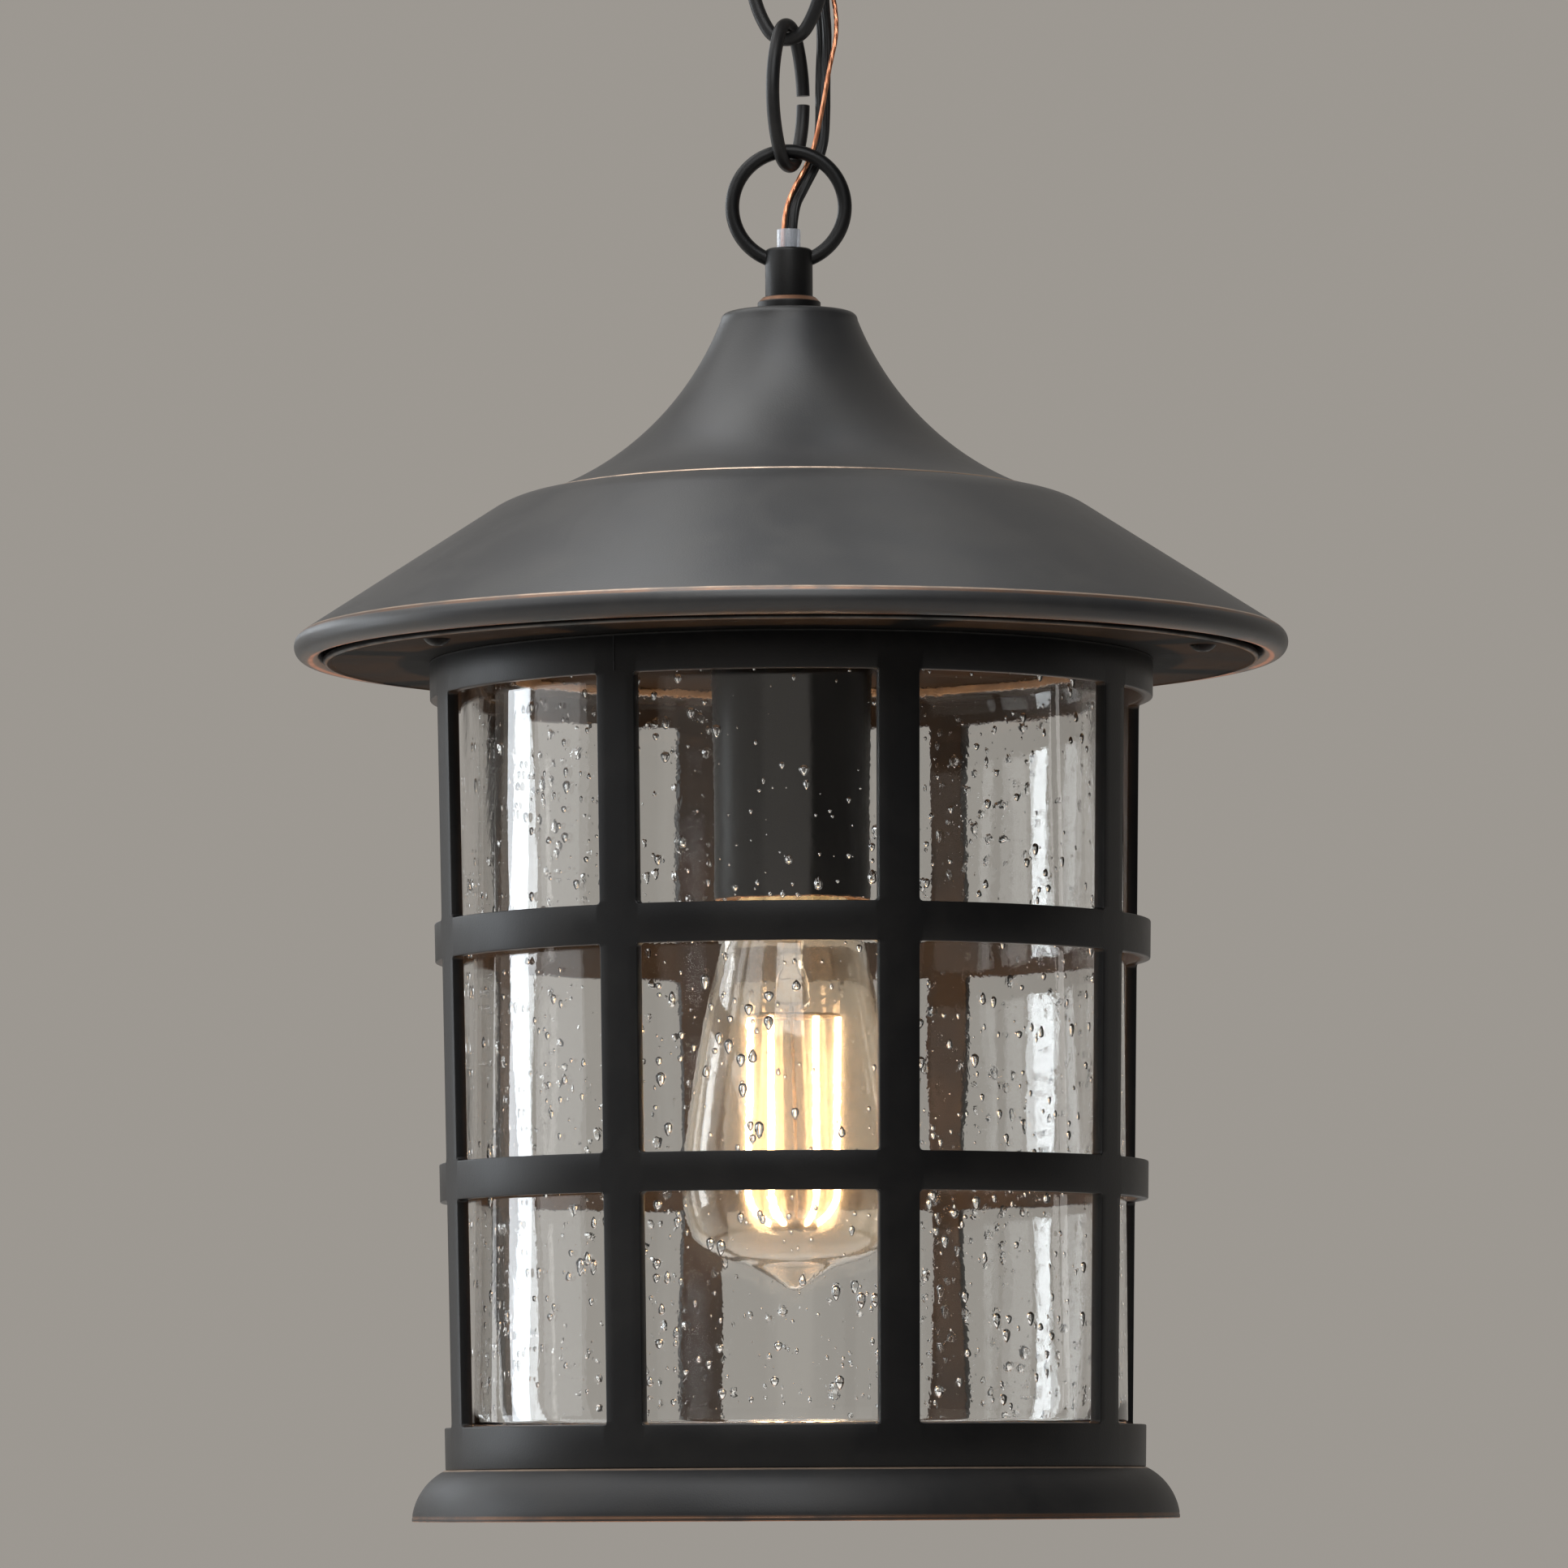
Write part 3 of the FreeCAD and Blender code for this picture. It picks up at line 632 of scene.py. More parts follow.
class Tone(Enum):
    """Colours of the rings along edges: copper and brown where the dark coat is rubbed thin, tan and grey
    where an edge highlight is painted.
    """

    COPPER = (0.24, 0.125, 0.075)
    # tan: painted highlight line along edges
    TAN = (0.30, 0.225, 0.17)
    BROWN = (0.10, 0.058, 0.038)
    # grey: painted highlight line along edges
    GREY_HIGHLIGHT = (0.085, 0.083, 0.080)


@dataclass(frozen=True)
class Rub:
    """Ring about the axis, rubbed-through wear on some edges and a painted edge highlight on others: radius,
    height and reach in millimetres, and its tone.
    """

    radius: float
    height: float
    reach: float
    tone: Tone = Tone.COPPER


@dataclass(frozen=True)
class Bronze:
    """Dark bronze coat, rubbed to copper along some edges, with painted highlight lines along others.

    Its spread is what its clouds take from the roughness and add to it, and its grain has a strength and a
    depth in metres.
    """

    name: str
    edge_rings: tuple[Rub, ...] = ()
    dark: Colour = (0.0032, 0.0032, 0.0035)
    brown: Colour = (0.0052, 0.0049, 0.0047)
    roughness: float = 0.42
    gloss: float = 0.23
    metallic: float = 0.15
    worn_and_highlight_metallic: float = 0.85
    spread: Pair = (-0.015, 0.02)
    grain: Pair = (0.10, 0.0003)

    def material(self) -> Material:
        """Build the coat's material.

        Returns:
            The material.
        """
        made, tree, shader, _ = new_material(self.name)
        mottle, grain = tree.group("satin_coat").outputs
        colour = tree.blend(mottle, self.dark, self.brown)
        mask: NodeSocket | None = None
        for rub in self.edge_rings:
            place = {"Radius": rub.radius * MM, "Height": rub.height * MM, "Width": rub.reach * MM}
            # Each ring lays its tone over the coat, as rubbed wear on some edges and as a painted highlight
            # on others.
            found = tree.group("wear_and_highlight_ring", place).outputs["Mask"]
            colour = tree.blend(found, colour, rub.tone.value)
            mask = found if mask is None else tree.calc("MAXIMUM", mask, found)
        metal: float | NodeSocket = self.metallic
        if mask is not None:
            metal = tree.ramp(mask, 0.0, 1.0, self.metallic, self.worn_and_highlight_metallic)
        rough = tree.ramp(mottle, 0.0, 1.0, *(self.roughness + part for part in self.spread))
        tree.fill(shader, {"Base Color": colour, "Metallic": metal, "Roughness": rough,
                           "Specular IOR Level": self.gloss, "Normal": tree.bump(grain, *self.grain)})
        return made


@dataclass(frozen=True)
class Metal:
    """Bare or plated metal with faint clouding and brushed grain."""

    name: str
    colour: Colour
    worn: Colour
    roughness: float
    clouds: float = 160.0
    spread: float = 0.12
    relief: float = 0.06

    def material(self) -> Material:
        """Build the metal's material.

        Returns:
            The material.
        """
        rough = (self.roughness, self.roughness + self.spread)
        return clouded(self.name, (self.colour, self.worn), self.clouds, rough, self.relief,
                       {"Metallic": 1.0})


@dataclass(frozen=True)
class Coated:
    """Plastic, rubber or glazed surface with faint clouding."""

    name: str
    colour: Colour
    worn: Colour
    roughness: float
    coat: float = 0.0
    gloss: float = 0.5
    clouds: float = 220.0
    spread: float = 0.1
    relief: float = 0.08

    def material(self) -> Material:
        """Build the surface's material.

        Returns:
            The material.
        """
        rough = (self.roughness, self.roughness + self.spread)
        return clouded(self.name, (self.colour, self.worn), self.clouds, rough, self.relief,
                       {"Coat Weight": self.coat, "Specular IOR Level": self.gloss})


@dataclass(frozen=True)
class ClearGlass:
    """Clear glass or plastic that lets light through to what it covers, with a thin tinted haze on some."""

    name: str
    tint: Colour
    ior: float
    roughness: float
    bump: float
    haze: float = 0.0
    film: Colour = (1.0, 1.0, 1.0)
    film_roughness: float = 0.3
    clear: float = 1.0
    waves: float = 60.0

    def material(self) -> Material:
        """Build the glass.

        Returns:
            The material.
        """
        made, tree, shader, out = new_material(self.name)
        wave = tree.group("satin_coat", {"Mottle Scale": self.waves}).outputs["Mottle"]
        tree.fill(shader, {"Base Color": self.tint, "Transmission Weight": self.clear, "IOR": self.ior,
                           "Roughness": self.roughness, "Normal": tree.bump(wave, self.bump, RELIEF)})
        surface = shader.outputs[0]
        if self.haze > 0:
            film = tree.add("ShaderNodeBsdfPrincipled", {
                "Base Color": self.film, "Roughness": self.film_roughness, "IOR": self.ior,
                "Transmission Weight": 1.0})
            hazy = tree.add("ShaderNodeMixShader", {0: self.haze, 1: surface, 2: film.outputs[0]})
            surface = hazy.outputs[0]
        shadow = tree.add("ShaderNodeLightPath").outputs["Is Shadow Ray"]
        clear = tree.add("ShaderNodeBsdfTransparent", {"Color": self.tint}).outputs[0]
        mixed = tree.add("ShaderNodeMixShader", {0: shadow, 1: surface, 2: clear})
        tree.fill(out, {"Surface": mixed.outputs[0]})
        return made


@dataclass(frozen=True)
class Glow:
    """Lit filament coat, brighter in patches."""

    name: str
    hot: Colour
    cool: Colour
    strength: float
    patches: float = 420.0
    roughness: float = 0.5

    def material(self) -> Material:
        """Build the glowing coat.

        Returns:
            The material.
        """
        made, tree, shader, _ = new_material(self.name)
        mottle = tree.group("satin_coat", {"Mottle Scale": self.patches}).outputs["Mottle"]
        colour = tree.blend(mottle, self.hot, self.cool)
        tree.fill(shader, {"Base Color": colour, "Emission Color": colour,
                           "Emission Strength": self.strength, "Roughness": self.roughness})
        return made


# Repeats

class RoundPattern:
    """Geometry Nodes tree that repeats a piece about the Z axis."""

    def __init__(self) -> None:
        """Build the tree with its named inputs."""
        tree, given = geometry_tree("round_pattern", {"Piece": "Geometry", "Count": "Int",
                                                      "First Turn": "Float", "Material": "Material"})
        points = tree.add("GeometryNodePoints", {"Count": given["Count"]}).outputs[0]
        step = tree.calc("DIVIDE", 2 * math.pi, given["Count"])
        index = tree.add("GeometryNodeInputIndex").outputs[0]
        turn = tree.calc("MULTIPLY_ADD", index, step, given["First Turn"])
        real = tree.copies(points, given["Piece"], tree.join(z=turn))
        merged = tree.add("GeometryNodeMergeByDistance", {"Geometry": real, "Distance": 1e-6})
        tree.give(merged.outputs[0], given["Material"])
        self.tree = tree.tree

    def apply(self, obj: Object, count: int, first: float, material: Material) -> Object:
        """Repeat a piece about the axis.

        Args:
            obj: Piece at its first place.
            count: Number of pieces.
            first: Turn of the first piece in degrees.
            material: Material of all pieces.

        Returns:
            The piece with all repeats in one plain mesh.
        """
        return apply_tree(obj, self.tree, {"Count": count, "First Turn": math.radians(first),
                                           "Material": material})


@dataclass(frozen=True)
class Seeds:
    """Seeds of one range of sizes.

    They have a number for each square metre, the smallest and largest radius in millimetres, the fineness of
    their mesh and the seed of their scatter.
    """

    density: float
    least: float
    most: float
    detail: int
    draw: int


class SeedScatter:
    """Geometry Nodes tree that scatters small drop-shaped seeds over a round wall."""

    flatness: float = 0.66
    longest: float = 1.9
    taper: float = -0.38
    turned_over: float = 0.7
    cloud_scale: float = 38.0
    cloud_range: Pair = (0.35, 0.68)
    cloud_gain: Pair = (0.25, 1.7)

    def __init__(self) -> None:
        """Build the tree with its named inputs."""
        tree, given = geometry_tree("seed_scatter", {"Wall": "Geometry", "Density": "Float", "Least": "Float",
                                                     "Most": "Float", "Seed": "Int", "Detail": "Int",
                                                     "Material": "Material"})
        place = tree.add("GeometryNodeInputPosition").outputs[0]
        x, y, z = tree.split(place)
        cloud = tree.noise(place, self.cloud_scale, 2.0)
        cloud = tree.ramp(cloud, *self.cloud_range, *self.cloud_gain)
        thick = tree.calc("MULTIPLY", cloud, given["Density"])
        points = tree.add("GeometryNodeDistributePointsOnFaces", {"Mesh": given["Wall"], "Density": thick,
                                                                  "Seed": given["Seed"]})
        spread = tree.calc("SUBTRACT", given["Most"], given["Least"])
        size = tree.calc("MULTIPLY_ADD", tree.calc("POWER", tree.chance(3), 2.0), spread, given["Least"])
        scale = tree.join(tree.calc("MULTIPLY", size, self.flatness), size,
                          tree.calc("MULTIPLY", size, tree.chance(8, 1.0, self.longest)))
        over = tree.calc("LESS_THAN", tree.chance(5), self.turned_over)
        turns = tree.join(tree.calc("MULTIPLY", over, math.pi), 0.0, tree.calc("ARCTAN2", y, x))
        ball = tree.add("GeometryNodeMeshIcoSphere", {"Radius": 1.0, "Subdivisions": given["Detail"]})
        narrow = tree.calc("MULTIPLY_ADD", z, self.taper, 1.0)
        shaped = tree.join(tree.calc("MULTIPLY", x, narrow), tree.calc("MULTIPLY", y, narrow), z)
        drop = tree.add("GeometryNodeSetPosition", {"Geometry": ball.outputs[0], "Position": shaped})
        real = tree.copies(points.outputs[0], drop.outputs[0], turns, Scale=scale)
        smooth = tree.add("GeometryNodeSetShadeSmooth", {"Geometry": real})
        tree.give(smooth.outputs[0], given["Material"])
        self.tree = tree.tree

    def apply(self, wall: Object, seeds: Seeds, material: Material) -> Object:
        """Scatter seeds over a wall.

        Args:
            wall: Open tube in the middle of the glass.
            seeds: What is scattered.
            material: Material of the seeds.

        Returns:
            The seeds in one plain mesh.
        """
        return apply_tree(wall, self.tree, {"Density": seeds.density, "Least": seeds.least * MM,
                                            "Most": seeds.most * MM, "Seed": seeds.draw,
                                            "Detail": seeds.detail, "Material": material})


# Stage

class Sky(Enum):
    """Colours of the lamps."""

    SHADE = (0.88, 0.94, 1.0)
    COOL = (0.93, 0.965, 1.0)
    PALE = (0.97, 0.985, 1.0)
    WARM = (1.0, 0.98, 0.96)


@dataclass(frozen=True)
class Lamp:
    """Soft lamp that the camera doesn't see.

    Its way is the azimuth from the front towards +X and the elevation in degrees, its reach and size are in
    metres and its power is in watts.
    """

    name: str
    way: Pair
    reach: float
    size: Pair
    power: float
    sky: Sky

    def build(self, aim: Vector) -> None:
        """Add the lamp.

        Args:
            aim: Point that it is turned to.
        """
        data = bpy.data.lights.new(self.name, "AREA")
        data.shape = "RECTANGLE"
        data.size, data.size_y = self.size
        data.energy = self.power
        data.color = self.sky.value
        lamp = bpy.data.objects.new(self.name, data)
        turn, rise = (math.radians(angle) for angle in self.way)
        out = Vector((math.sin(turn) * math.cos(rise), -math.cos(turn) * math.cos(rise), math.sin(rise)))
        lamp.location = aim + out * self.reach
        lamp.rotation_euler = out.to_track_quat("Z", "Y").to_euler()
        lamp.visible_camera = False
        bpy.context.scene.collection.objects.link(lamp)


@dataclass
class Studio:
    """Floor, light and camera.

    Metal and glass mirror a room that is paler ahead and dark on the right. Its turns are in radians from the
    front towards +X.
    """

    aim: Place = (0.0, 0.0, -0.34)
    wall: Colour = (0.335, 0.313, 0.285)
    pale_turn: Pair = (-0.19, -0.16)
    pale_gain: float = 0.35
    dark_turn: Pair = (0.09, 0.13)
    dark_gain: float = -1.15
    dark_end: Pair = (2.2, 1.7)
    dim: Colour = (0.95, 0.97, 1.0)
    dim_level: float = 0.32
    floor_z: float = -850.0
    floor_rings: tuple[float, ...] = (0.0, 1500.0, 4000.0)
    floor_colours: tuple[Colour, Colour] = ((0.55, 0.52, 0.48), (0.62, 0.59, 0.55))
    lens: float = 206.0
    sensor: float = 36.0
    farthest: float = 100.0
    eye: Place = (-0.0020, -2.285, -0.4725)
    pitch: float = 94.524
    roll: float = -0.32
    lamps: tuple[Lamp, ...] = (
        Lamp("left_strip", (-107.5, 3.0), 1.7, (0.36, 0.9), 8.2, Sky.SHADE),
        Lamp("left_edge", (-128.5, 4.0), 1.7, (0.30, 1.0), 1.7, Sky.COOL),
        Lamp("left_low", (-132.0, 20.0), 1.8, (1.3, 0.45), 5.5, Sky.SHADE),
        Lamp("left_veil", (-87.5, 5.0), 1.7, (0.66, 0.9), 2.1, Sky.PALE),
        Lamp("left_fill", (-72.0, 26.0), 2.0, (1.5, 0.6), 9.0, Sky.COOL),
        Lamp("right_strip", (104.5, 3.0), 1.7, (0.12, 0.60), 0.4, Sky.WARM),
        Lamp("left_sky", (-95.0, 65.0), 1.9, (1.9, 2.0), 33.0, Sky.PALE),
        Lamp("front_sky", (-4.0, 40.0), 2.4, (1.6, 1.3), 37.0, Sky.PALE),
        Lamp("high_sky", (-16.0, 81.0), 1.8, (0.9, 0.9), 26.0, Sky.PALE),
        Lamp("back_sky", (-165.0, 70.0), 1.9, (1.2, 0.5), 5.0, Sky.PALE))

    def build(self) -> None:
        """Make the stage."""
        self.build_world()
        self.build_floor()
        for lamp in self.lamps:
            lamp.build(Vector(self.aim))
        self.build_camera()

    def build_world(self) -> None:
        """Pale wall colour for the eye, metal and glass, and a dim light from all round."""
        world = bpy.data.worlds.new("studio")
        bpy.context.scene.world = world
        world.use_nodes = True
        world.node_tree.nodes.clear()
        tree = Tree(world.node_tree)
        path = tree.add("ShaderNodeLightPath").outputs
        seen = tree.calc("MAXIMUM", tree.calc("MAXIMUM", path["Is Camera Ray"], path["Is Glossy Ray"]),
                         path["Is Transmission Ray"])
        x, y, _ = tree.split(tree.add("ShaderNodeTexCoord").outputs["Generated"])
        turn = tree.calc("ARCTAN2", x, tree.calc("MULTIPLY", y, -1.0))
        pale = tree.calc("MULTIPLY", tree.ramp(turn, *self.pale_turn), self.pale_gain)
        shade = tree.calc("MULTIPLY_ADD", tree.ramp(turn, *self.dark_turn), self.dark_gain, pale)
        shade = tree.calc("MULTIPLY", shade, tree.ramp(turn, *self.dark_end))
        level = tree.calc("MULTIPLY_ADD", shade, path["Is Glossy Ray"], 1.0)
        wall = tree.add("ShaderNodeBackground", {"Color": self.wall, "Strength": level})
        dim = tree.add("ShaderNodeBackground", {"Color": self.dim, "Strength": self.dim_level})
        mixed = tree.add("ShaderNodeMixShader", {0: seen, 1: dim.outputs[0], 2: wall.outputs[0]})
        tree.add("ShaderNodeOutputWorld", {"Surface": mixed.outputs[0]})

    def build_floor(self) -> None:
        """Pale round floor below the lantern, clear from underneath."""
        floor = lathe("floor", [(r, self.floor_z) for r in self.floor_rings], SMALL_SIDES, closed=False)
        if floor.data.polygons[0].normal.z < 0:
            floor.data.flip_normals()
        made, tree, shader, out = new_material("pale_floor")
        cloud = tree.noise(tree.add("ShaderNodeTexCoord").outputs["Object"], 3.0, 4.0)
        tree.fill(shader, {"Base Color": tree.blend(cloud, *self.floor_colours), "Roughness": 0.8})
        clear = tree.add("ShaderNodeBsdfTransparent").outputs[0]
        behind = tree.add("ShaderNodeNewGeometry").outputs["Backfacing"]
        mixed = tree.add("ShaderNodeMixShader", {0: behind, 1: shader.outputs[0], 2: clear})
        tree.fill(out, {"Surface": mixed.outputs[0]})
        floor.data.materials.append(made)

    def build_camera(self) -> None:
        """Long lens at the height of the lantern's base, pitched up."""
        data = bpy.data.cameras.new("camera")
        data.lens = self.lens
        data.sensor_width = self.sensor
        data.clip_end = self.farthest
        camera = bpy.data.objects.new("camera", data)
        camera.location = self.eye
        pitch = Matrix.Rotation(math.radians(self.pitch), 3, "X")
        roll = Matrix.Rotation(math.radians(self.roll), 3, "Z")
        camera.rotation_euler = (pitch @ roll).to_euler()
        bpy.context.scene.collection.objects.link(camera)
        bpy.context.scene.camera = camera
        bpy.context.scene.view_settings.view_transform = "Standard"


# Hanging parts

@dataclass
class CeilingMount:
    """Canopy cup with its strap, nipple and nuts."""

    radius: float = 63.45
    skirt: float = 6.0
    skirt_round: float = 8.0
    depth: float = 25.0
    flat: float = 18.0
    flat_round: float = 9.0
    wall: float = 1.2
    hole: float = 5.1

    def build(self) -> None:
        """Make the canopy and dress the hidden nodes."""
        zinc = Metal("zinc_steel", (0.52, 0.53, 0.54), (0.38, 0.38, 0.38), 0.36).material()
        green = Coated("green_screw", (0.02, 0.16, 0.05), (0.03, 0.21, 0.08), 0.35).material()
        dress_nodes(zinc, "mounting_strap", "canopy_nipple", "canopy_lock_nut", "roof_nipple", "roof_washer",
                    "roof_nut", "socket_nut")
        dress_nodes(green, "ground_screw")
        finish = Bronze("canopy_bronze", (Rub(self.radius, 0.0, 1.2), Rub(self.flat + 1.0, -self.depth, 1.6)))
        inner = self.radius - self.wall
        inner_z = self.wall - self.depth
        outline = rounded([
            (self.radius, 0.0, 0.3), (self.radius, -self.skirt, self.skirt_round),
            (self.flat, -self.depth, self.flat_round), (self.hole, -self.depth, 0.2),
            (self.hole, inner_z, 0.2), (self.flat, inner_z, self.flat_round + self.wall),
            (inner, self.wall / 2 - self.skirt, self.skirt_round - self.wall), (inner, 0.0, 0.3)], 10)
        dress(lathe("canopy_cup", outline), finish.material(), Body.CEILING, ["canopy"])


@dataclass
class HangingLoop:
    """Collar, stem and wire ring, on the roof or turned over under the canopy."""

    prefix: str
    body: Body
    seat: float
    nodes: tuple[str, str, str]
    flipped: bool = False
    collar_r: float = 8.1
    collar_h: float = 4.0
    bevel: float = 1.3
    foot_rub: float = 0.4
    stem_r: float = 6.1
    stem_h: float = 12.6
    bore: float = 3.35
    ring_mid: float = 14.45
    ring_wire: float = 3.6
    ring_lift: float = 27.5
    ring_room: float = 0.5
    turn: float = 67.0

    def place(self) -> Matrix:
        """Place of the loop.

        Returns:
            Matrix from the loop's own seat to its place.
        """
        low = Matrix.Translation((0, 0, self.seat * MM))
        if not self.flipped:
            return low
        return low @ Matrix.Rotation(math.radians(self.turn), 4, "Z") @ Matrix.Rotation(math.pi, 4, "X")

    def build(self) -> None:
        """Make the three pieces."""
        hand = -1 if self.flipped else 1
        edge = self.collar_h - self.bevel
        edge_rings = (Rub(self.collar_r - self.bevel / 2, self.seat + hand * (edge + self.bevel / 2), 1.0),
                Rub(self.collar_r, self.seat + hand * self.foot_rub, 0.5))
        finish = Bronze(self.prefix + "loop_bronze", edge_rings).material()
        collar = lathe(self.prefix + "collar", rounded([
            (self.bore, 0.0, 0.0), (self.collar_r, 0.0, 0.3), (self.collar_r, edge, 0.4),
            (self.collar_r - self.bevel, self.collar_h, 0.4), (self.bore, self.collar_h, 0.0)]), SMALL_SIDES)
        top = self.collar_h + self.stem_h
        stem = lathe(self.prefix + "stem", rounded([
            (self.bore, self.collar_h, 0.0), (self.stem_r, self.collar_h, 0.2), (self.stem_r, top, 1.0),
            (self.bore, top, 0.4)]), SMALL_SIDES)
        gap = math.degrees(math.asin((self.bore + self.ring_room) / (self.ring_mid - self.ring_wire / 2)))
        line = upright(arc_points((0.0, self.ring_lift), self.ring_mid, gap - 90, 270 - gap, 120))
        ring = tube_along(self.prefix + "ring", line, self.ring_wire / 2, 32)
        for obj, node in zip((collar, stem, ring), self.nodes):
            obj.data.transform(self.place())
            dress(obj, finish, self.body, [node])


@dataclass
class Chain:
    """Two open oval links of round wire."""

    length: float = 40.0
    width: float = 23.5
    wire: float = 3.45
    end_bend: float = 6.5
    cut: float = 2.5
    turn: float = 23.0
    upper: float = -81.4
    lower: float = -114.2
    end_steps: int = 24
    side_steps: int = 32

    def middle_line(self) -> list[Pair]:
        """Middle line of a link in its own plane.

        Returns:
            Points from one side of the cut to the other.
        """
        half_l = (self.length - self.wire) / 2
        half_w = (self.width - self.wire) / 2
        bend = self.end_bend
        side = (half_l ** 2 + half_w ** 2 - 2 * half_l * bend) / (2 * (half_w - bend))
        reach = math.degrees(math.atan2(half_l - bend, side - half_w))
        gap = math.degrees(math.asin(self.cut / 2 / side))
        right, left = (half_w - side, 0.0), (side - half_w, 0.0)
        top, low = (0.0, half_l - bend), (0.0, bend - half_l)
        runs = (arc_points(right, side, gap, reach, self.side_steps // 2),
                arc_points(top, bend, reach, 180 - reach, self.end_steps),
                arc_points(left, side, 180 - reach, 180 + reach, self.side_steps),
                arc_points(low, bend, 180 + reach, 360 - reach, self.end_steps),
                arc_points(right, side, -reach, -gap, self.side_steps // 2))
        return [runs[0][0], *(point for run in runs for point in run[1:])]

    def build(self) -> None:
        """Make both links."""
        finish = Bronze("link_bronze", (), (0.007, 0.007, 0.0075), (0.016, 0.015, 0.0145)).material()
        for name, body, height, turn in (("link_above", Body.UPPER_LINK, self.upper, -self.turn),
                                         ("link_below", Body.LOWER_LINK, self.lower, 90 - self.turn)):
            link = tube_along(name, upright(self.middle_line()), self.wire / 2, 28)
            link.data.transform(Matrix.Translation((0, 0, height * MM))
                                @ Matrix.Rotation(math.radians(turn), 4, "Z"))
            dress(link, finish, body, [body.value])


class Wire(Enum):
    """The three wires beside the chain."""

    LINE = "line_wire"
    NEUTRAL = "neutral_wire"
    GROUND = "ground_wire"


@dataclass(frozen=True)
class Stretch:
    """Run of the wires across one hinge of the chain, and the bare wire's route where it crosses over."""

    name: str
    low: Body
    high: Body
    bend: Pair
    route: tuple[Place, ...]
    bare: tuple[Place, ...] = ()


@dataclass
class Wires:
    """Two ribbed leads and a twisted bare ground wire in a clear sleeve."""

    lead: float = 2.4
    lead_offset: float = 1.3
    lead_sides: int = 56
    ribs: int = 10
    rib_depth: float = 0.05
    rib_lay: float = 157.08
    ground: float = 1.2
    ground_offset: float = 1.9
    ground_sides: int = 42
    strands: int = 7
    strand_depth: float = 0.20
    strand_lay: float = 24.5
    lean: float = 36.0
    resolution: int = 16
    sleeve_r: float = 3.05
    sleeve_wall: float = 0.42
    sleeve_z: Pair = (-162.0, -149.0)
    stretches: tuple[Stretch, ...] = (
        Stretch("low", Body.LANTERN, Body.LOWER_LINK, (-150.0, -116.0),
                ((0.0, 0.0, -158.5), (0.0, 0.0, -144.6), (3.6, 3.9, -137.4), (7.8, 6.0, -129.0),
                 (9.0, 6.2, -121.6), (9.0, 6.2, -114.2)),
                ((-1.54, -1.12, -158.5), (-1.54, -1.12, -147.2), (0.5, 0.6, -139.4), (5.8, 3.1, -130.2),
                 (8.0, 2.7, -121.6), (9.4, 2.7, -114.2))),
        Stretch("mid", Body.LOWER_LINK, Body.UPPER_LINK, (-112.0, -84.0),
                ((9.0, 6.2, -114.2), (9.0, 6.2, -107.2), (9.6, 6.9, -97.8), (8.8, 6.2, -88.6),
                 (8.8, 6.2, -81.4)),
                ((9.4, 2.7, -114.2), (10.6, 2.7, -106.8), (12.8, 4.2, -97.8), (12.2, 6.6, -88.2),
                 (10.34, 7.32, -81.4))),
        Stretch("top", Body.UPPER_LINK, Body.CEILING, (-79.0, -46.0),
                ((8.8, 6.2, -81.4), (8.8, 6.2, -74.4), (6.9, 4.5, -63.8), (3.0, 1.7, -53.2),
                 (0.0, 0.0, -43.4), (0.0, 0.0, -36.4))))

    def ribbed(self, turn: float, gone: float) -> float:
        """Radius of a lead with fine ribs that wind slowly round it."""
        wave = math.cos(self.ribs * (turn + 2 * math.pi * gone / self.rib_lay))
        return self.lead / 2 * (1 - self.rib_depth + self.rib_depth * wave)

    def twisted(self, turn: float, gone: float) -> float:
        """Radius of the twisted strands."""
        wave = abs(math.cos(self.strands / 2 * (turn + 2 * math.pi * gone / self.strand_lay)))
        return self.ground / 2 * (1 - self.strand_depth + self.strand_depth * wave)

    def build(self) -> None:
        """Make every stretch of every wire, and the sleeve."""
        black = Coated("black_wire", (0.006, 0.006, 0.0062), (0.010, 0.010, 0.010), 0.42,
                       gloss=0.25).material()
        copper = Metal("bare_copper", (0.66, 0.29, 0.16), (0.44, 0.17, 0.09), 0.30).material()
        lean = math.radians(self.lean)
        outward = Vector((math.cos(lean), math.sin(lean), 0))
        across = Vector((-math.sin(lean), math.cos(lean), 0))
        offsets = {Wire.LINE: -across * self.lead_offset, Wire.NEUTRAL: across * self.lead_offset,
                   Wire.GROUND: outward * self.ground_offset}
        for stretch in self.stretches:
            for wire in Wire:
                route = [Vector(place) + offsets[wire] for place in stretch.route]
                if wire is Wire.GROUND and stretch.bare:
                    route = [Vector(place) for place in stretch.bare]
                self.strand(stretch, wire, route, copper if wire is Wire.GROUND else black)
        clear = ClearGlass("clear_sleeve", (0.80, 0.82, 0.86), 1.42, 0.22, 0.3, clear=0.86).material()
        low, high = self.sleeve_z
        inner = self.sleeve_r - self.sleeve_wall
        sleeve = lathe("sleeve", rounded([(inner, low, 0.1), (self.sleeve_r, low, 0.1),
                                          (self.sleeve_r, high, 0.18), (inner, high, 0.18)], 3), 64)
        dress(sleeve, clear, Body.LANTERN, ["wire_sleeve"])

    def strand(self, stretch: Stretch, wire: Wire, route: Sequence[Vector], material: Material) -> None:
        """Make one wire of one stretch.

        Args:
            stretch: The stretch.
            wire: The wire.
            route: Its control points in millimetres.
            material: Its material.
        """
        name = f"{wire.value}_{stretch.name}"
        rule, sides, diameter, slot = self.ribbed, self.lead_sides, self.lead, "black_wire"
        if wire is Wire.GROUND:
            rule, sides, diameter, slot = self.twisted, self.ground_sides, self.ground, "bare_copper"
        points = spline_points(route, self.resolution)
        obj = tube_along(name + "_run", points, rule, sides)
        obj.data.materials.append(material)
        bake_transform(obj)
        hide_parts(name)


# Lantern

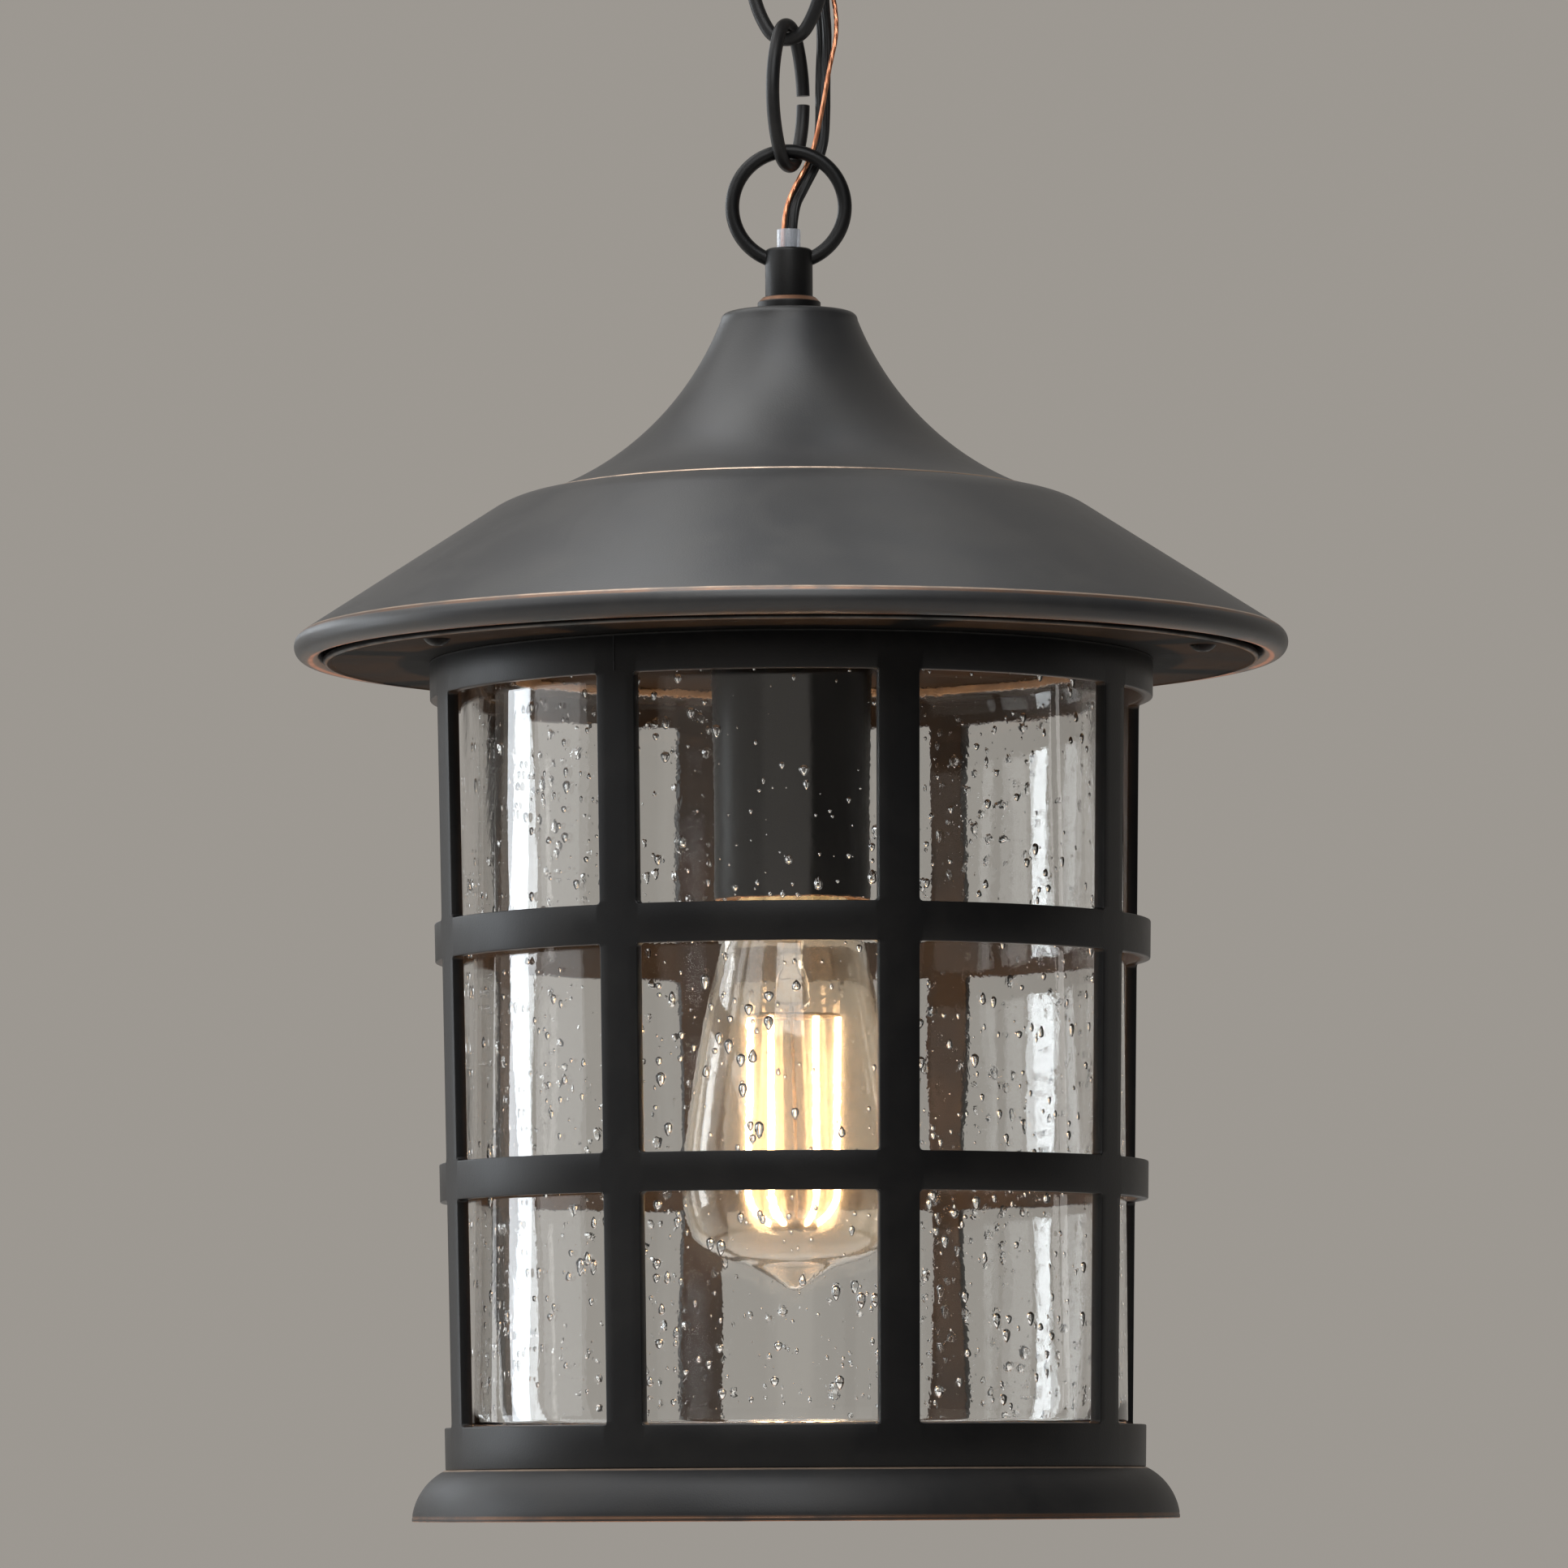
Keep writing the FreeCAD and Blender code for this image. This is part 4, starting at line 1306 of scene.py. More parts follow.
@dataclass
class Roof:
    """Spun roof with a rolled rim, the soffit plate under it and the plate's screws.

    Rubbed rings, painted highlight lines and the seam's edge are given by how far out and up they lie from
    the bead's middle and the seam.
    """

    top: float = -170.6
    under: float = -260.6
    bead: float = 3.6
    bead_mid: float = 123.4
    bead_z: float = -256.5
    bead_turn: float = 296.0
    # Offsets of the rings on the bead: a painted highlight on its top, rubbed wear on its outer side and a
    # painted highlight under it.
    bead_top_highlight: Pair = (2.0, 3.0)
    rub_outer: Pair = (2.6, 2.5)
    bead_under_highlight: Pair = (-0.6, -3.6)
    slope: float = 32.9
    wall: float = 2.0
    seam: float = 64.4
    seam_slope: float = 4.0
    seam_edge: tuple[Pair, ...] = ((-0.45, 0.5), (-0.1, 0.42), (0.12, 0.1))
    # Offset of the seam's painted highlight line.
    seam_highlight: Pair = (-0.1, 0.4)
    shoulder: float = 26.0
    bell: float = 78.5
    crown: float = 17.6
    crown_round: float = 2.0
    hole: float = 5.1
    plate_r: float = 119.5
    plate_thick: float = 1.5
    roll: tuple[Pair, ...] = ((-2.2, 0.0), (-1.5, -0.35), (0.0, -0.1))
    spigot_r: float = 89.13
    spigot_wall: float = 2.0
    spigot_h: float = 4.0
    screws: int = 3
    screw_circle: float = 111.5
    screw_first: float = 68.0
    head_r: float = 3.35
    head_h: float = 1.8
    head_arc: Pair = (0.35, 0.96)
    recess_r: float = 0.9
    recess_z: float = 0.7
    shank_r: float = 1.9
    shank: float = 9.0

    def outer(self) -> tuple[list[Pair], Vector]:
        """Outer line of the roof from the crown to the bead.

        Returns:
            The line's points and the seam's corner.
        """
        skirt = math.radians(self.slope)
        start = math.radians(self.seam_slope)
        run = Vector((self.bead_mid + self.bead * math.sin(skirt), self.bead_z + self.bead * math.cos(skirt)))
        tangent_r = self.seam + self.shoulder * (math.sin(skirt) - math.sin(start))
        tangent = Vector((tangent_r, run.y + (run.x - tangent_r) * math.tan(skirt)))
        middle = tangent - Vector((math.sin(skirt), math.cos(skirt))) * self.shoulder
        seam = middle + Vector((math.sin(start), math.cos(start))) * self.shoulder
        bell_top = Vector((self.crown, self.top - self.crown_round))
        sag = self.bell - math.sqrt(self.bell ** 2 - (bell_top - seam).length ** 2 / 4)
        bell = bow(bell_top, seam, -sag, 40)
        crown = arc_points((self.crown - self.crown_round, self.top - self.crown_round), self.crown_round,
                           90, 0, 8)
        edge = [(seam.x + out, seam.y + up) for out, up in self.seam_edge]
        shoulder = arc_points(middle[:], self.shoulder, 90 - self.seam_slope, 90 - self.slope, 14)
        return [*crown, *bell[1:-1], *edge, *shoulder], seam

    def section(self) -> tuple[list[Pair], Vector]:
        """Closed section of the roof with its rolled rim.

        Returns:
            The section's points and the seam's corner.
        """
        outside, seam = self.outer()
        outside = [(self.hole, self.top), *outside]
        bead_top = 90 - self.slope
        bead = arc_points((self.bead_mid, self.bead_z), self.bead, bead_top, bead_top - self.bead_turn, 40)
        lower: list[Pair] = []
        for r, z in offset_line([*outside, bead[0]], self.wall):
            r = max(r, self.hole)
            if not lower or r > lower[-1][0] + 0.02:
                lower.append((r, z))
        return [*outside, *bead, *reversed(lower[:-1])], seam

    def build(self, pattern: RoundPattern) -> None:
        """Make the roof, the plate and the screws.

        Args:
            pattern: Tree that repeats the screws.
        """
        outline, seam = self.section()
        bead = (self.bead_mid, self.bead_z)
        # Rings of the roof: tan painted highlights on the bead's top and at the seam, a copper painted
        # highlight under the bead, and brown rubbed wear on the bead's outer side.
        edge_rings = tuple(Rub(middle[0] + out, middle[1] + up, reach, tone) for middle, (out, up), reach, tone in (
            (bead, self.bead_top_highlight, 0.55, Tone.TAN), (bead, self.rub_outer, 0.75, Tone.BROWN),
            (bead, self.bead_under_highlight, 0.8, Tone.COPPER), (seam, self.seam_highlight, 0.6, Tone.TAN)))
        # The roof's bronze is a lighter copy of the cage's dark bronze: painted light from above.
        finish = Bronze("roof_bronze_painted_light", edge_rings, (0.018, 0.018, 0.0186), (0.023, 0.0222, 0.0216), roughness=0.41,
                        gloss=0.30).material()
        dress(lathe("roof_shell", outline, LARGE_SIDES), finish, Body.LANTERN, ["roof"])
        low, high = self.under, self.under + self.plate_thick
        inner = self.spigot_r - self.spigot_wall
        foot = low - self.spigot_h
        roll = [(self.plate_r + out, low + up, size) for (out, up), size in zip(self.roll, (0.3, 0.3, 0.6))]
        plate = lathe("soffit_disc", rounded([
            (self.hole, high, 0.0), (self.hole, low, 0.0), (inner, low, 0.2), (inner, foot, 0.3),
            (self.spigot_r, foot, 0.3), (self.spigot_r, low, 0.2), *roll,
            (self.plate_r, high, 0.5)]), LARGE_SIDES)
        # The grey ring along the plate's rim is a painted edge highlight.
        under = Bronze("soffit_bronze", (Rub(self.plate_r - 0.5, low, 0.7, Tone.GREY_HIGHLIGHT),),
                       (0.0031, 0.0030, 0.0029), (0.0058, 0.0053, 0.0049), roughness=0.62, gloss=0.03,
                       metallic=0.0).material()
        dress(plate, under, Body.LANTERN, ["soffit_plate"])
        self.build_screws(pattern)

    def build_screws(self, pattern: RoundPattern) -> None:
        """Make the round-head screws under the soffit.

        Args:
            pattern: Tree that repeats them.
        """
        dome = (self.head_r ** 2 + self.head_h ** 2) / (2 * self.head_h)
        reach = math.degrees(math.asin(self.head_r / dome))
        first, last = (reach * share - 90 for share in self.head_arc)
        head = arc_points((0.0, self.under - self.head_h + dome), dome, first, last, 8)
        floor, end = self.under - self.recess_z, self.under + self.shank
        outline = [(0.0, floor), (self.recess_r, floor), (self.recess_r + 0.1, head[0][1] + 0.1), *head,
                   (self.head_r, self.under), (self.shank_r, self.under), (self.shank_r, end), (0.0, end)]
        screw = lathe("soffit_screw_heads", outline, 32, closed=False)
        screw.data.transform(Matrix.Translation((self.screw_circle * MM, 0, 0)))
        dark = Metal("dark_screws", (0.004, 0.004, 0.004), (0.008, 0.007, 0.007), 0.38).material()
        screws = pattern.apply(screw, self.screws, self.screw_first - 90.0, dark)
        dress(screws, dark, Body.LANTERN, ["soffit_screws"])


@dataclass
class Cage:
    """Rolled cage wall with three rows of windows, and the flared base under it."""

    low: float = -466.1
    bottom_r: float = 88.9
    top_r: float = 92.5
    wall: float = 3.0
    bars: int = 8
    bar_width: float = 10.4
    first_bar: float = 16.75
    bands: tuple[float, ...] = (10.7, 57.1, 9.7, 51.4, 9.8, 57.1, 9.7)
    window_spans: int = 6
    corner: float = 1.0
    corner_spans: int = 5
    edge: float = 0.32
    edge_angle: float = 50.0
    sharp_angle: float = 48.0
    seam_turn: float = -28.25
    seam_size: float = 0.16
    seam_inset: float = 0.4
    seam_rows: int = 8
    base: float = -479.1
    foot: float = 97.4
    lip: float = 1.0
    bulge: float = 1.9
    flare_spans: int = 18
    base_wall: float = 2.6
    upstand_r: float = 85.8
    ledge_r: float = 77.3
    ledge: float = -456.6
    ledge_thick: float = 2.5

    def radius(self, height: float) -> float:
        """Outer radius at a height above the cage's lower edge."""
        return self.bottom_r + (self.top_r - self.bottom_r) * height / sum(self.bands)

    def on_wall(self, turn: float, height: float) -> Vector:
        """Point of the outer wall.

        Args:
            turn: Turn about the axis in degrees.
            height: Height above the cage's lower edge.

        Returns:
            The point in metres.
        """
        way = math.radians(turn)
        reach = self.radius(height)
        return Vector((reach * math.cos(way), reach * math.sin(way), self.low + height)) * MM

    def sector(self) -> Object:
        """Make one bar with half a window on each side.

        Returns:
            The bar as a thin sheet.
        """
        shape = bmesh.new()
        levels = [0.0]
        for size in self.bands:
            levels.append(levels[-1] + size)
        rows = list(zip(levels, levels[1:]))
        half = math.degrees(self.bar_width / 2 / self.radius(sum(self.bands) / 2))
        near = half + math.degrees(self.corner / self.bottom_r)
        limit = 180 / self.bars
        spans = [near + (limit - near) * k / self.window_spans for k in range(self.window_spans + 1)]
        turns = [0.0, half / 2, half, *spans]
        turns = [-turn for turn in reversed(turns[1:])] + turns
        heights: list[float] = []
        for number, (low, high) in enumerate(rows):
            middle = (low + high) / 2
            inner = [low + self.corner, middle, high - self.corner] if number % 2 else [middle]
            heights += [low, *inner]
        heights.append(levels[-1])
        found: dict[Pair, bmesh.types.BMVert] = {}

        def vertex(turn: float, height: float) -> bmesh.types.BMVert:
            """Find or add a vertex.

            Args:
                turn: Turn about the axis in degrees.
                height: Height above the cage's lower edge.

            Returns:
                The vertex on the wall.
            """
            key = (round(turn, 5), round(height, 5))
            if key not in found:
                found[key] = shape.verts.new(self.on_wall(turn, height))
            return found[key]

        for left, right in zip(turns, turns[1:]):
            for under, above in zip(heights, heights[1:]):
                off = abs(left + right) / 2
                square = [(left, under), (right, under), (right, above), (left, above)]
                open_row = any(low < (under + above) / 2 < high for low, high in rows[1::2])
                if off < half or not open_row:
                    shape.faces.new([vertex(*place) for place in square])
                elif off < near and above - under < self.corner * 1.01:
                    shape.faces.new([vertex(*place) for place in self.filled_corner(square, levels, half)])
        return finished("cage_wall", shape)

    def filled_corner(self, square: list[Pair], levels: list[float], half: float) -> list[Pair]:
        """Outline of the wall in a window's corner, up to its rounding.

        Args:
            square: Corners of the small cell in the window's corner.
            levels: Heights of the bands' edges.
            half: Half of a bar's turn in degrees.

        Returns:
            Turn and height of each point.
        """
        tip = next(n for n, (turn, height) in enumerate(square)
                   if abs(abs(turn) - half) < 1e-6 and any(abs(height - level) < 1e-6 for level in levels))
        corner, after, centre, before = [square[(tip + k) % 4] for k in range(4)]
        curve = []
        for k in range(1, self.corner_spans):
            turn = math.radians(90 * k / self.corner_spans)
            curve.append(tuple(c + (a - c) * math.cos(turn) + (b - c) * math.sin(turn)
                               for a, b, c in zip(after, before, centre)))
        return [corner, after, *curve, before]

    def build(self, pattern: RoundPattern) -> None:
        """Make the cage and its base.

        Args:
            pattern: Tree that repeats the bars.
        """
        top = self.low + sum(self.bands)
        # The grey ring along the cage's top edge is a painted edge highlight.
        finish = Bronze("cage_bronze", (Rub(self.top_r, top - 0.2, 0.5, Tone.GREY_HIGHLIGHT),)).material()
        cage = pattern.apply(self.sector(), self.bars, self.first_bar - 90.0, finish)
        thick = cage.modifiers.new("wall", "SOLIDIFY")
        thick.thickness = self.wall * MM
        thick.offset = -1.0
        soft = cage.modifiers.new("edges", "BEVEL")
        soft.width = self.edge * MM
        soft.segments = 2
        soft.limit_method = "ANGLE"
        soft.angle_limit = math.radians(self.edge_angle)
        soft.use_clamp_overlap = False
        baked(cage)
        cage.data.shade_smooth()
        cage.data.set_sharp_from_angle(angle=math.radians(self.sharp_angle))
        dress(cage, finish, Body.LANTERN, ["cage"])
        self.build_seam(finish)
        self.build_base()

    def build_seam(self, finish: Material) -> None:
        """Make the fine welded seam of the rolled wall across the top band.

        Args:
            finish: Material of the cage.
        """
        low = sum(self.bands[:-1]) + self.seam_inset
        rise = self.bands[-1] - 2 * self.seam_inset
        line = [self.on_wall(self.seam_turn - 90.0, low + rise * k / self.seam_rows)
                for k in range(self.seam_rows + 1)]
        dress(tube_along("band_seam", line, self.seam_size, 10), finish, Body.LANTERN)

    def build_base(self) -> None:
        """Make the flared base ring."""
        lip_z = self.base + self.lip
        shoulder = Vector((self.bottom_r, self.low))
        flare = bow(shoulder, Vector((self.foot, lip_z)), self.bulge, self.flare_spans)
        inner_top = Vector((self.bottom_r - self.base_wall / 2, self.low - self.base_wall))
        inner_foot = Vector((self.foot - self.base_wall, self.base))
        inside = bow(inner_top, inner_foot, self.bulge, self.flare_spans)
        inner = self.upstand_r - self.base_wall
        shelf = self.ledge - self.ledge_thick
        rest = rounded([(*inner_top, 0.0), (inner, self.low - self.base_wall, 0.5), (inner, shelf, 0.5),
                        (self.ledge_r, shelf, 0.4), (self.ledge_r, self.ledge, 0.5),
                        (self.upstand_r, self.ledge, 0.3), (self.upstand_r, self.low, 0.0),
                        (self.bottom_r, self.low, 0.0)])
        lip = rounded([(self.foot - 0.3, lip_z + 0.2, 0.0), (self.foot, lip_z, 0.25),
                       (self.foot, self.base, 0.3), (*inner_foot, 0.3)], 4)
        outline = [(self.bottom_r, self.low), *flare[1:-1], *lip[1:-1], *reversed(inside[1:-1]), *rest[1:-1]]
        # The tan ring at the shoulder is a painted highlight line; the brown and copper rings at the foot are
        # the rubbed coat.
        edge_rings = (Rub(self.bottom_r + 0.3, self.low - 0.2, 0.75, Tone.TAN),
                Rub(self.foot, lip_z, 0.6, Tone.BROWN), Rub(self.foot - 0.2, self.base + 0.1, 0.3))
        base = lathe("base_flare", outline, LARGE_SIDES)
        # The base's bronze is a lighter copy of the cage's dark bronze: painted light on the upward-facing
        # flare.
        finish = Bronze("base_bronze_painted_light", edge_rings, (0.0085, 0.0085, 0.0089), (0.012, 0.0114, 0.011), roughness=0.48,
                        gloss=0.26).material()
        dress(base, finish, Body.LANTERN, ["base_ring"])


@dataclass
class GlassTube:
    """Clear tube full of small seeds, between two soft rings.

    Each wave of the wall has its size, its number round the tube, its slant and how often its shift counts.
    """

    radius: float = 84.5
    wall: float = 3.0
    low: float = -455.1
    high: float = -262.6
    edge: float = 1.0
    rows: int = 30
    sides: int = 216
    gasket: float = 1.5
    gasket_r: float = 79.0
    pad: float = 2.0
    ripple_size: float = 0.022
    outer_shift: float = 0.9
    inner_shift: float = 2.7
    waves: tuple[tuple[float, int, float, int], ...] = (
        (1.0, 19, 0.06, 1), (0.45, 31, -0.045, 2), (1.1, 9, 0.10, 0))
    seed_margin: float = 3.0
    seeds: tuple[Seeds, ...] = (Seeds(15500.0, 0.45, 1.25, 2, 11), Seeds(22000.0, 0.16, 0.45, 1, 10))

    def ripple(self, turn: float, r: float, z: float) -> float:
        """Slight unevenness of the drawn wall in millimetres, different on its two faces."""
        shift = self.outer_shift if r > self.radius - self.wall / 2 else self.inner_shift
        return self.ripple_size * sum(size * math.sin(count * turn + slant * z + times * shift)
                                      for size, count, slant, times in self.waves)

    @staticmethod
    def hollow(tube: Object, seeds: Object) -> None:
        """Put the seeds into the tube's mesh as air pockets, whose faces look out of the glass.

        Args:
            tube: The tube.
            seeds: Closed seeds inside its wall, used up here.
        """
        seeds.data.flip_normals()
        shape = bmesh.new()
        shape.from_mesh(tube.data)
        shape.from_mesh(seeds.data)
        shape.to_mesh(tube.data)
        shape.free()
        bpy.data.objects.remove(seeds)

    def heights(self, margin: float) -> list[float]:
        """Even heights along the tube, a margin away from its ends."""
        deep = self.high - self.low - 2 * margin
        return [self.low + margin + deep * k / self.rows for k in range(self.rows + 1)]

    def build(self, scatter: SeedScatter) -> None:
        """Make the tube, its seeds and the soft rings.

        Args:
            scatter: Tree that scatters the seeds.
        """
        edge = self.edge
        inner = self.radius - self.wall
        steps = self.heights(edge)[1:-1]
        outline = [*arc_points((self.radius - edge, self.low + edge), edge, -90, 0, 4),
                   *[(self.radius, z) for z in steps],
                   *arc_points((self.radius - edge, self.high - edge), edge, 0, 90, 4),
                   *arc_points((inner + edge, self.high - edge), edge, 90, 180, 4),
                   *[(inner, z) for z in reversed(steps)],
                   *arc_points((inner + edge, self.low + edge), edge, 180, 270, 4)]
        clear = ClearGlass("seeded_glass", (0.985, 0.99, 0.985), 1.48, 0.0, 0.05).material()
        tube = lathe("seeded_tube", outline, self.sides, ripple=self.ripple)
        line = [(self.radius - self.wall / 2, z) for z in self.heights(self.seed_margin)]
        for seeds in self.seeds:
            wall = lathe("glass_seeds", line, SMALL_SIDES, closed=False)
            self.hollow(tube, scatter.apply(wall, seeds, clear))
        dress(tube, clear, Body.LANTERN, ["glass_tube"])
        rubber = Coated("rubber", (0.03, 0.03, 0.03), (0.05, 0.05, 0.05), 0.6).material()
        for name, node, inside, low, high in (
                ("gasket_ring", "glass_gasket", self.gasket_r, self.low - self.gasket, self.low),
                ("pad_ring", "glass_pad", inner, self.high, self.high + self.pad)):
            ring = lathe(name, rounded([(inside, low, 0.3), (self.radius, low, 0.3), (self.radius, high, 0.3),
                                        (inside, high, 0.3)], 3))
            dress(ring, rubber, Body.LANTERN, [node])


@dataclass
class Socket:
    """Dark sleeve round the porcelain lamp socket."""

    top: float = -260.6
    mouth: float = -321.8
    radius: float = 20.25
    wall: float = 1.2
    hole: float = 5.1
    body_r: float = 17.85
    body_low: float = -319.1
    body_high: float = -266.3
    shoulder: float = 6.0
    neck: float = 11.0
    seat_r: float = 5.0
    seat_depth: float = 8.0
    wire_hole: float = 3.5
    bore: float = 13.8
    bore_top: float = -295.7

    def build(self) -> None:
        """Make the sleeve, the porcelain and the screw shell."""
        inner = self.radius - self.wall
        under = self.top - self.wall
        sleeve = lathe("socket_sleeve", rounded([
            (self.radius, self.mouth, 0.5), (self.radius, self.top, 0.0), (self.hole, self.top, 0.0),
            (self.hole, under, 0.0), (inner, under, 0.6), (inner, self.mouth, 0.5)]), 128)
        dark = Bronze("sleeve_bronze", (), (0.015, 0.0142, 0.0135), (0.017, 0.016, 0.0152), roughness=0.34,
                      gloss=0.06, metallic=0.05).material()
        dress(sleeve, dark, Body.LANTERN, ["socket_cover"])
        white = Coated("porcelain", (0.80, 0.77, 0.72), (0.70, 0.66, 0.60), 0.22, 0.5).material()
        seat = self.body_high - self.seat_depth
        body = lathe("socket_porcelain", rounded([
            (self.bore, self.body_low, 0.6), (self.body_r, self.body_low, 0.8),
            (self.body_r, self.body_high - self.shoulder, 1.0), (self.neck, self.body_high, 1.0),
            (self.seat_r, self.body_high, 0.3), (self.seat_r, seat, 0.0), (self.wire_hole, seat, 0.0),
            (self.wire_hole, self.bore_top, 0.0), (self.bore, self.bore_top, 0.5)]), SMALL_SIDES)
        dress(body, white, Body.LANTERN, ["socket_body"])
        brass = Metal("brass", (0.75, 0.50, 0.22), (0.60, 0.37, 0.15), 0.25).material()
        dress_nodes(brass, "socket_shell", "socket_contact")


@dataclass
class Bulb:
    """Drop-shaped filament bulb with a brass screw cap.

    Outlines of its glass are radius and depth below the cap's rim, and the cap's lip is given from that rim.
    """

    rim: float = -320.6
    cap_r: float = 13.0
    cap_wall: float = 0.4
    cap_h: float = 17.6
    cap_rows: int = 60
    cap_lip: tuple[Pair, ...] = ((0.15, -2.1), (0.4, -2.1), (1.2, -0.7), (1.1, -0.4), (-0.2, -0.1))
    thread: float = 0.28
    thread_pitch: float = 3.6
    thread_fade: float = 2.5
    groove: float = 0.3
    seal: Pair = (12.5, -1.2)
    outline: tuple[Pair, ...] = (
        (12.5, 1.0), (13.4, 4.0), (17.6, 10.5), (20.4, 22.0), (24.4, 41.5), (28.0, 63.0), (28.8, 75.0),
        (26.0, 86.5), (19.2, 91.6), (11.0, 94.2), (5.6, 97.2), (2.4, 99.6))
    tip: Pair = (1.25, 100.15)
    length: float = 100.4
    wall: float = 0.9
    mount: tuple[Pair, ...] = (
        (11.4, -1.0), (9.4, 0.6), (6.6, 3.0), (4.4, 5.6), (3.2, 8.4), (3.0, 12.0), (3.0, 17.5), (3.2, 19.5),
        (3.6, 22.0), (3.9, 25.0), (3.7, 27.6), (2.4, 29.0), (0.0, 29.3))
    mount_depth: float = 29.0
    press_from: float = 16.0
    press_run: float = 5.0
    press_wider: float = 0.16
    press_thinner: float = 0.58
    filaments: int = 6
    filament_d: float = 1.7
    top_depth: float = 31.0
    straight: float = 43.0
    top_r: float = 11.5
    bend_r: float = 10.5
    bend: float = 68.0
    bend_steps: int = 12
    support: float = 0.9
    button: tuple[Pair, ...] = ((-0.6, 3.2), (-0.2, 2.9), (0.0, 2.4), (0.0, 0.8), (-0.3, 0.3), (-1.0, 0.0))
    light_at: Place = (0, 0, -0.375)
    light_power: float = 6.5
    light_colour: Colour = (1.0, 0.52, 0.24)
    light_size: float = 0.012

    def build(self, pattern: RoundPattern) -> None:
        """Make the bulb.

        Args:
            pattern: Tree that repeats the filaments and spokes.
        """
        self.build_cap()
        self.build_glass()
        self.build_filaments(pattern)
        self.build_light()

    def threaded(self, turn: float, r: float, z: float) -> float:
        """Height of the rolled thread.

        Args:
            turn: Turn about the axis in radians.
            r: Radius of the cap's wall.
            z: Height.

        Returns:
            The height, which is nothing on the lip and inside the cap.
        """
        up = z - self.rim
        if r < self.cap_r - 0.5 or up < 0:
            return 0.0
        ends = min(1.0, up / self.thread_fade, (self.cap_h - up) / self.thread_fade)
        return self.thread * max(0.0, ends) * math.sin(turn - 2 * math.pi * up / self.thread_pitch)

    def build_cap(self) -> None:
        """Make the cap with its rolled thread and dress its end."""
        brass = Metal("cap_brass", (0.80, 0.58, 0.30), (0.66, 0.44, 0.20), 0.22).material()
        outside = self.cap_r - self.groove
        inside = outside - self.cap_wall
        lip = [(self.cap_r + out, self.rim + up) for out, up in self.cap_lip]
        outer = [(outside, self.rim + self.cap_h * k / self.cap_rows) for k in range(self.cap_rows + 1)]
        inner = [(inside, self.rim + self.cap_h), (inside, self.rim)]
        cap = lathe("screw_cap", [*lip, *outer, *inner], SMALL_SIDES, ripple=self.threaded)
        dress(cap, brass, Body.BULB, ["bulb_cap"])
        black = Coated("black_glass", (0.01, 0.01, 0.012), (0.02, 0.02, 0.02), 0.12).material()
        dress_nodes(black, "bulb_insulator")
        tin = Metal("tin", (0.62, 0.62, 0.62), (0.48, 0.48, 0.47), 0.34).material()
        dress_nodes(tin, "bulb_contact")

    def build_glass(self) -> None:
        """Make the envelope and the glass mount inside it."""
        clear = ClearGlass("bulb_glass", (1.0, 0.94, 0.85), 1.45, 0.0, 0.0, haze=0.135,
                           film=(1.0, 0.80, 0.58)).material()
        outer = [self.seal, *smooth_line(self.outline, 8), self.tip, (0.0, self.length)]
        inner = [(max(0.0, r), depth) for r, depth in offset_line(outer, -self.wall)]
        inner[-1] = (0.0, self.length - self.wall)
        loop = [*outer, *reversed(inner)]
        glass = lathe("envelope", [(r, self.rim - depth) for r, depth in loop], 128)
        dress(glass, clear, Body.BULB, ["bulb_glass"])
        line = [(0.0, -1.0), *smooth_line(self.mount, 5)]
        mount = lathe("glass_mount", [(r, self.rim - depth) for r, depth in line], 48, closed=False)
        for vertex in mount.data.vertices:
            depth = self.rim - vertex.co.z / MM
            press = min(1.0, max(0.0, (depth - self.press_from) / self.press_run))
            vertex.co.x *= 1.0 + self.press_wider * press
            vertex.co.y *= 1.0 - self.press_thinner * press
        dress(mount, clear, Body.BULB, ["bulb_stem"])

    def filament_line(self) -> list[Vector]:
        """Middle line of the first filament.

        Returns:
            Points from its upper end to its lower one, in metres.
        """
        top = self.rim - self.top_depth
        knee = top - self.straight
        line = [(self.top_r, top - self.straight * k / self.bend_steps) for k in range(self.bend_steps)]
        line += arc_points((self.top_r - self.bend_r, knee), self.bend_r, 0, -self.bend, self.bend_steps)
        return upright(line)

    def build_filaments(self, pattern: RoundPattern) -> None:
        """Make the lit filaments and the wires that hold them.

        Args:
            pattern: Tree that repeats them.
        """
        hot = Glow("filament", (1.0, 0.68, 0.38), (1.0, 0.73, 0.45), 14.0).material()
        line = self.filament_line()
        rod = tube_along("filaments", line, self.filament_d / 2, 16)
        first = 180 / self.filaments - 90
        dress(pattern.apply(rod, self.filaments, first, hot), hot, Body.BULB, ["bulb_filaments"])
        steel = Metal("support_wire", (0.16, 0.155, 0.15), (0.11, 0.105, 0.10), 0.4).material()
        r = self.support / 2
        ring_z = self.rim - self.top_depth + r
        spoke_line = upright([(self.top_r * k / 6, ring_z) for k in range(7)])
        spoke = tube_along("filament_spokes", spoke_line, r, 10)
        dress(pattern.apply(spoke, self.filaments, first, steel), steel, Body.BULB)
        end = line[-1] / MM
        low = end.z - self.filament_d
        top = self.rim - self.mount_depth + 1.0
        button = [(end.x + self.support + out, low + up) for out, up in self.button]
        post = lathe("filament_post", [(0.0, top), (r, top), (r, button[0][1]), *button, (0.0, low)], 48,
                     closed=False)
        dress(post, steel, Body.BULB, ["filament_supports"])
        ring = lathe("filament_ring", arc_points((self.top_r, ring_z), r, 0, 330, 11), 72)
        dress(ring, steel, Body.BULB)

    def build_light(self) -> None:
        """Add the warm light that the filaments give."""
        data = bpy.data.lights.new("filament_light", "POINT")
        data.energy = self.light_power
        data.color = self.light_colour
        data.shadow_soft_size = self.light_size
        lamp = bpy.data.objects.new("filament_light", data)
        lamp.location = self.light_at
        lamp.visible_camera = False
        lamp.visible_glossy = False
        lamp.visible_transmission = False
        bpy.context.scene.collection.objects.link(lamp)
        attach(lamp, Body.BULB.value)


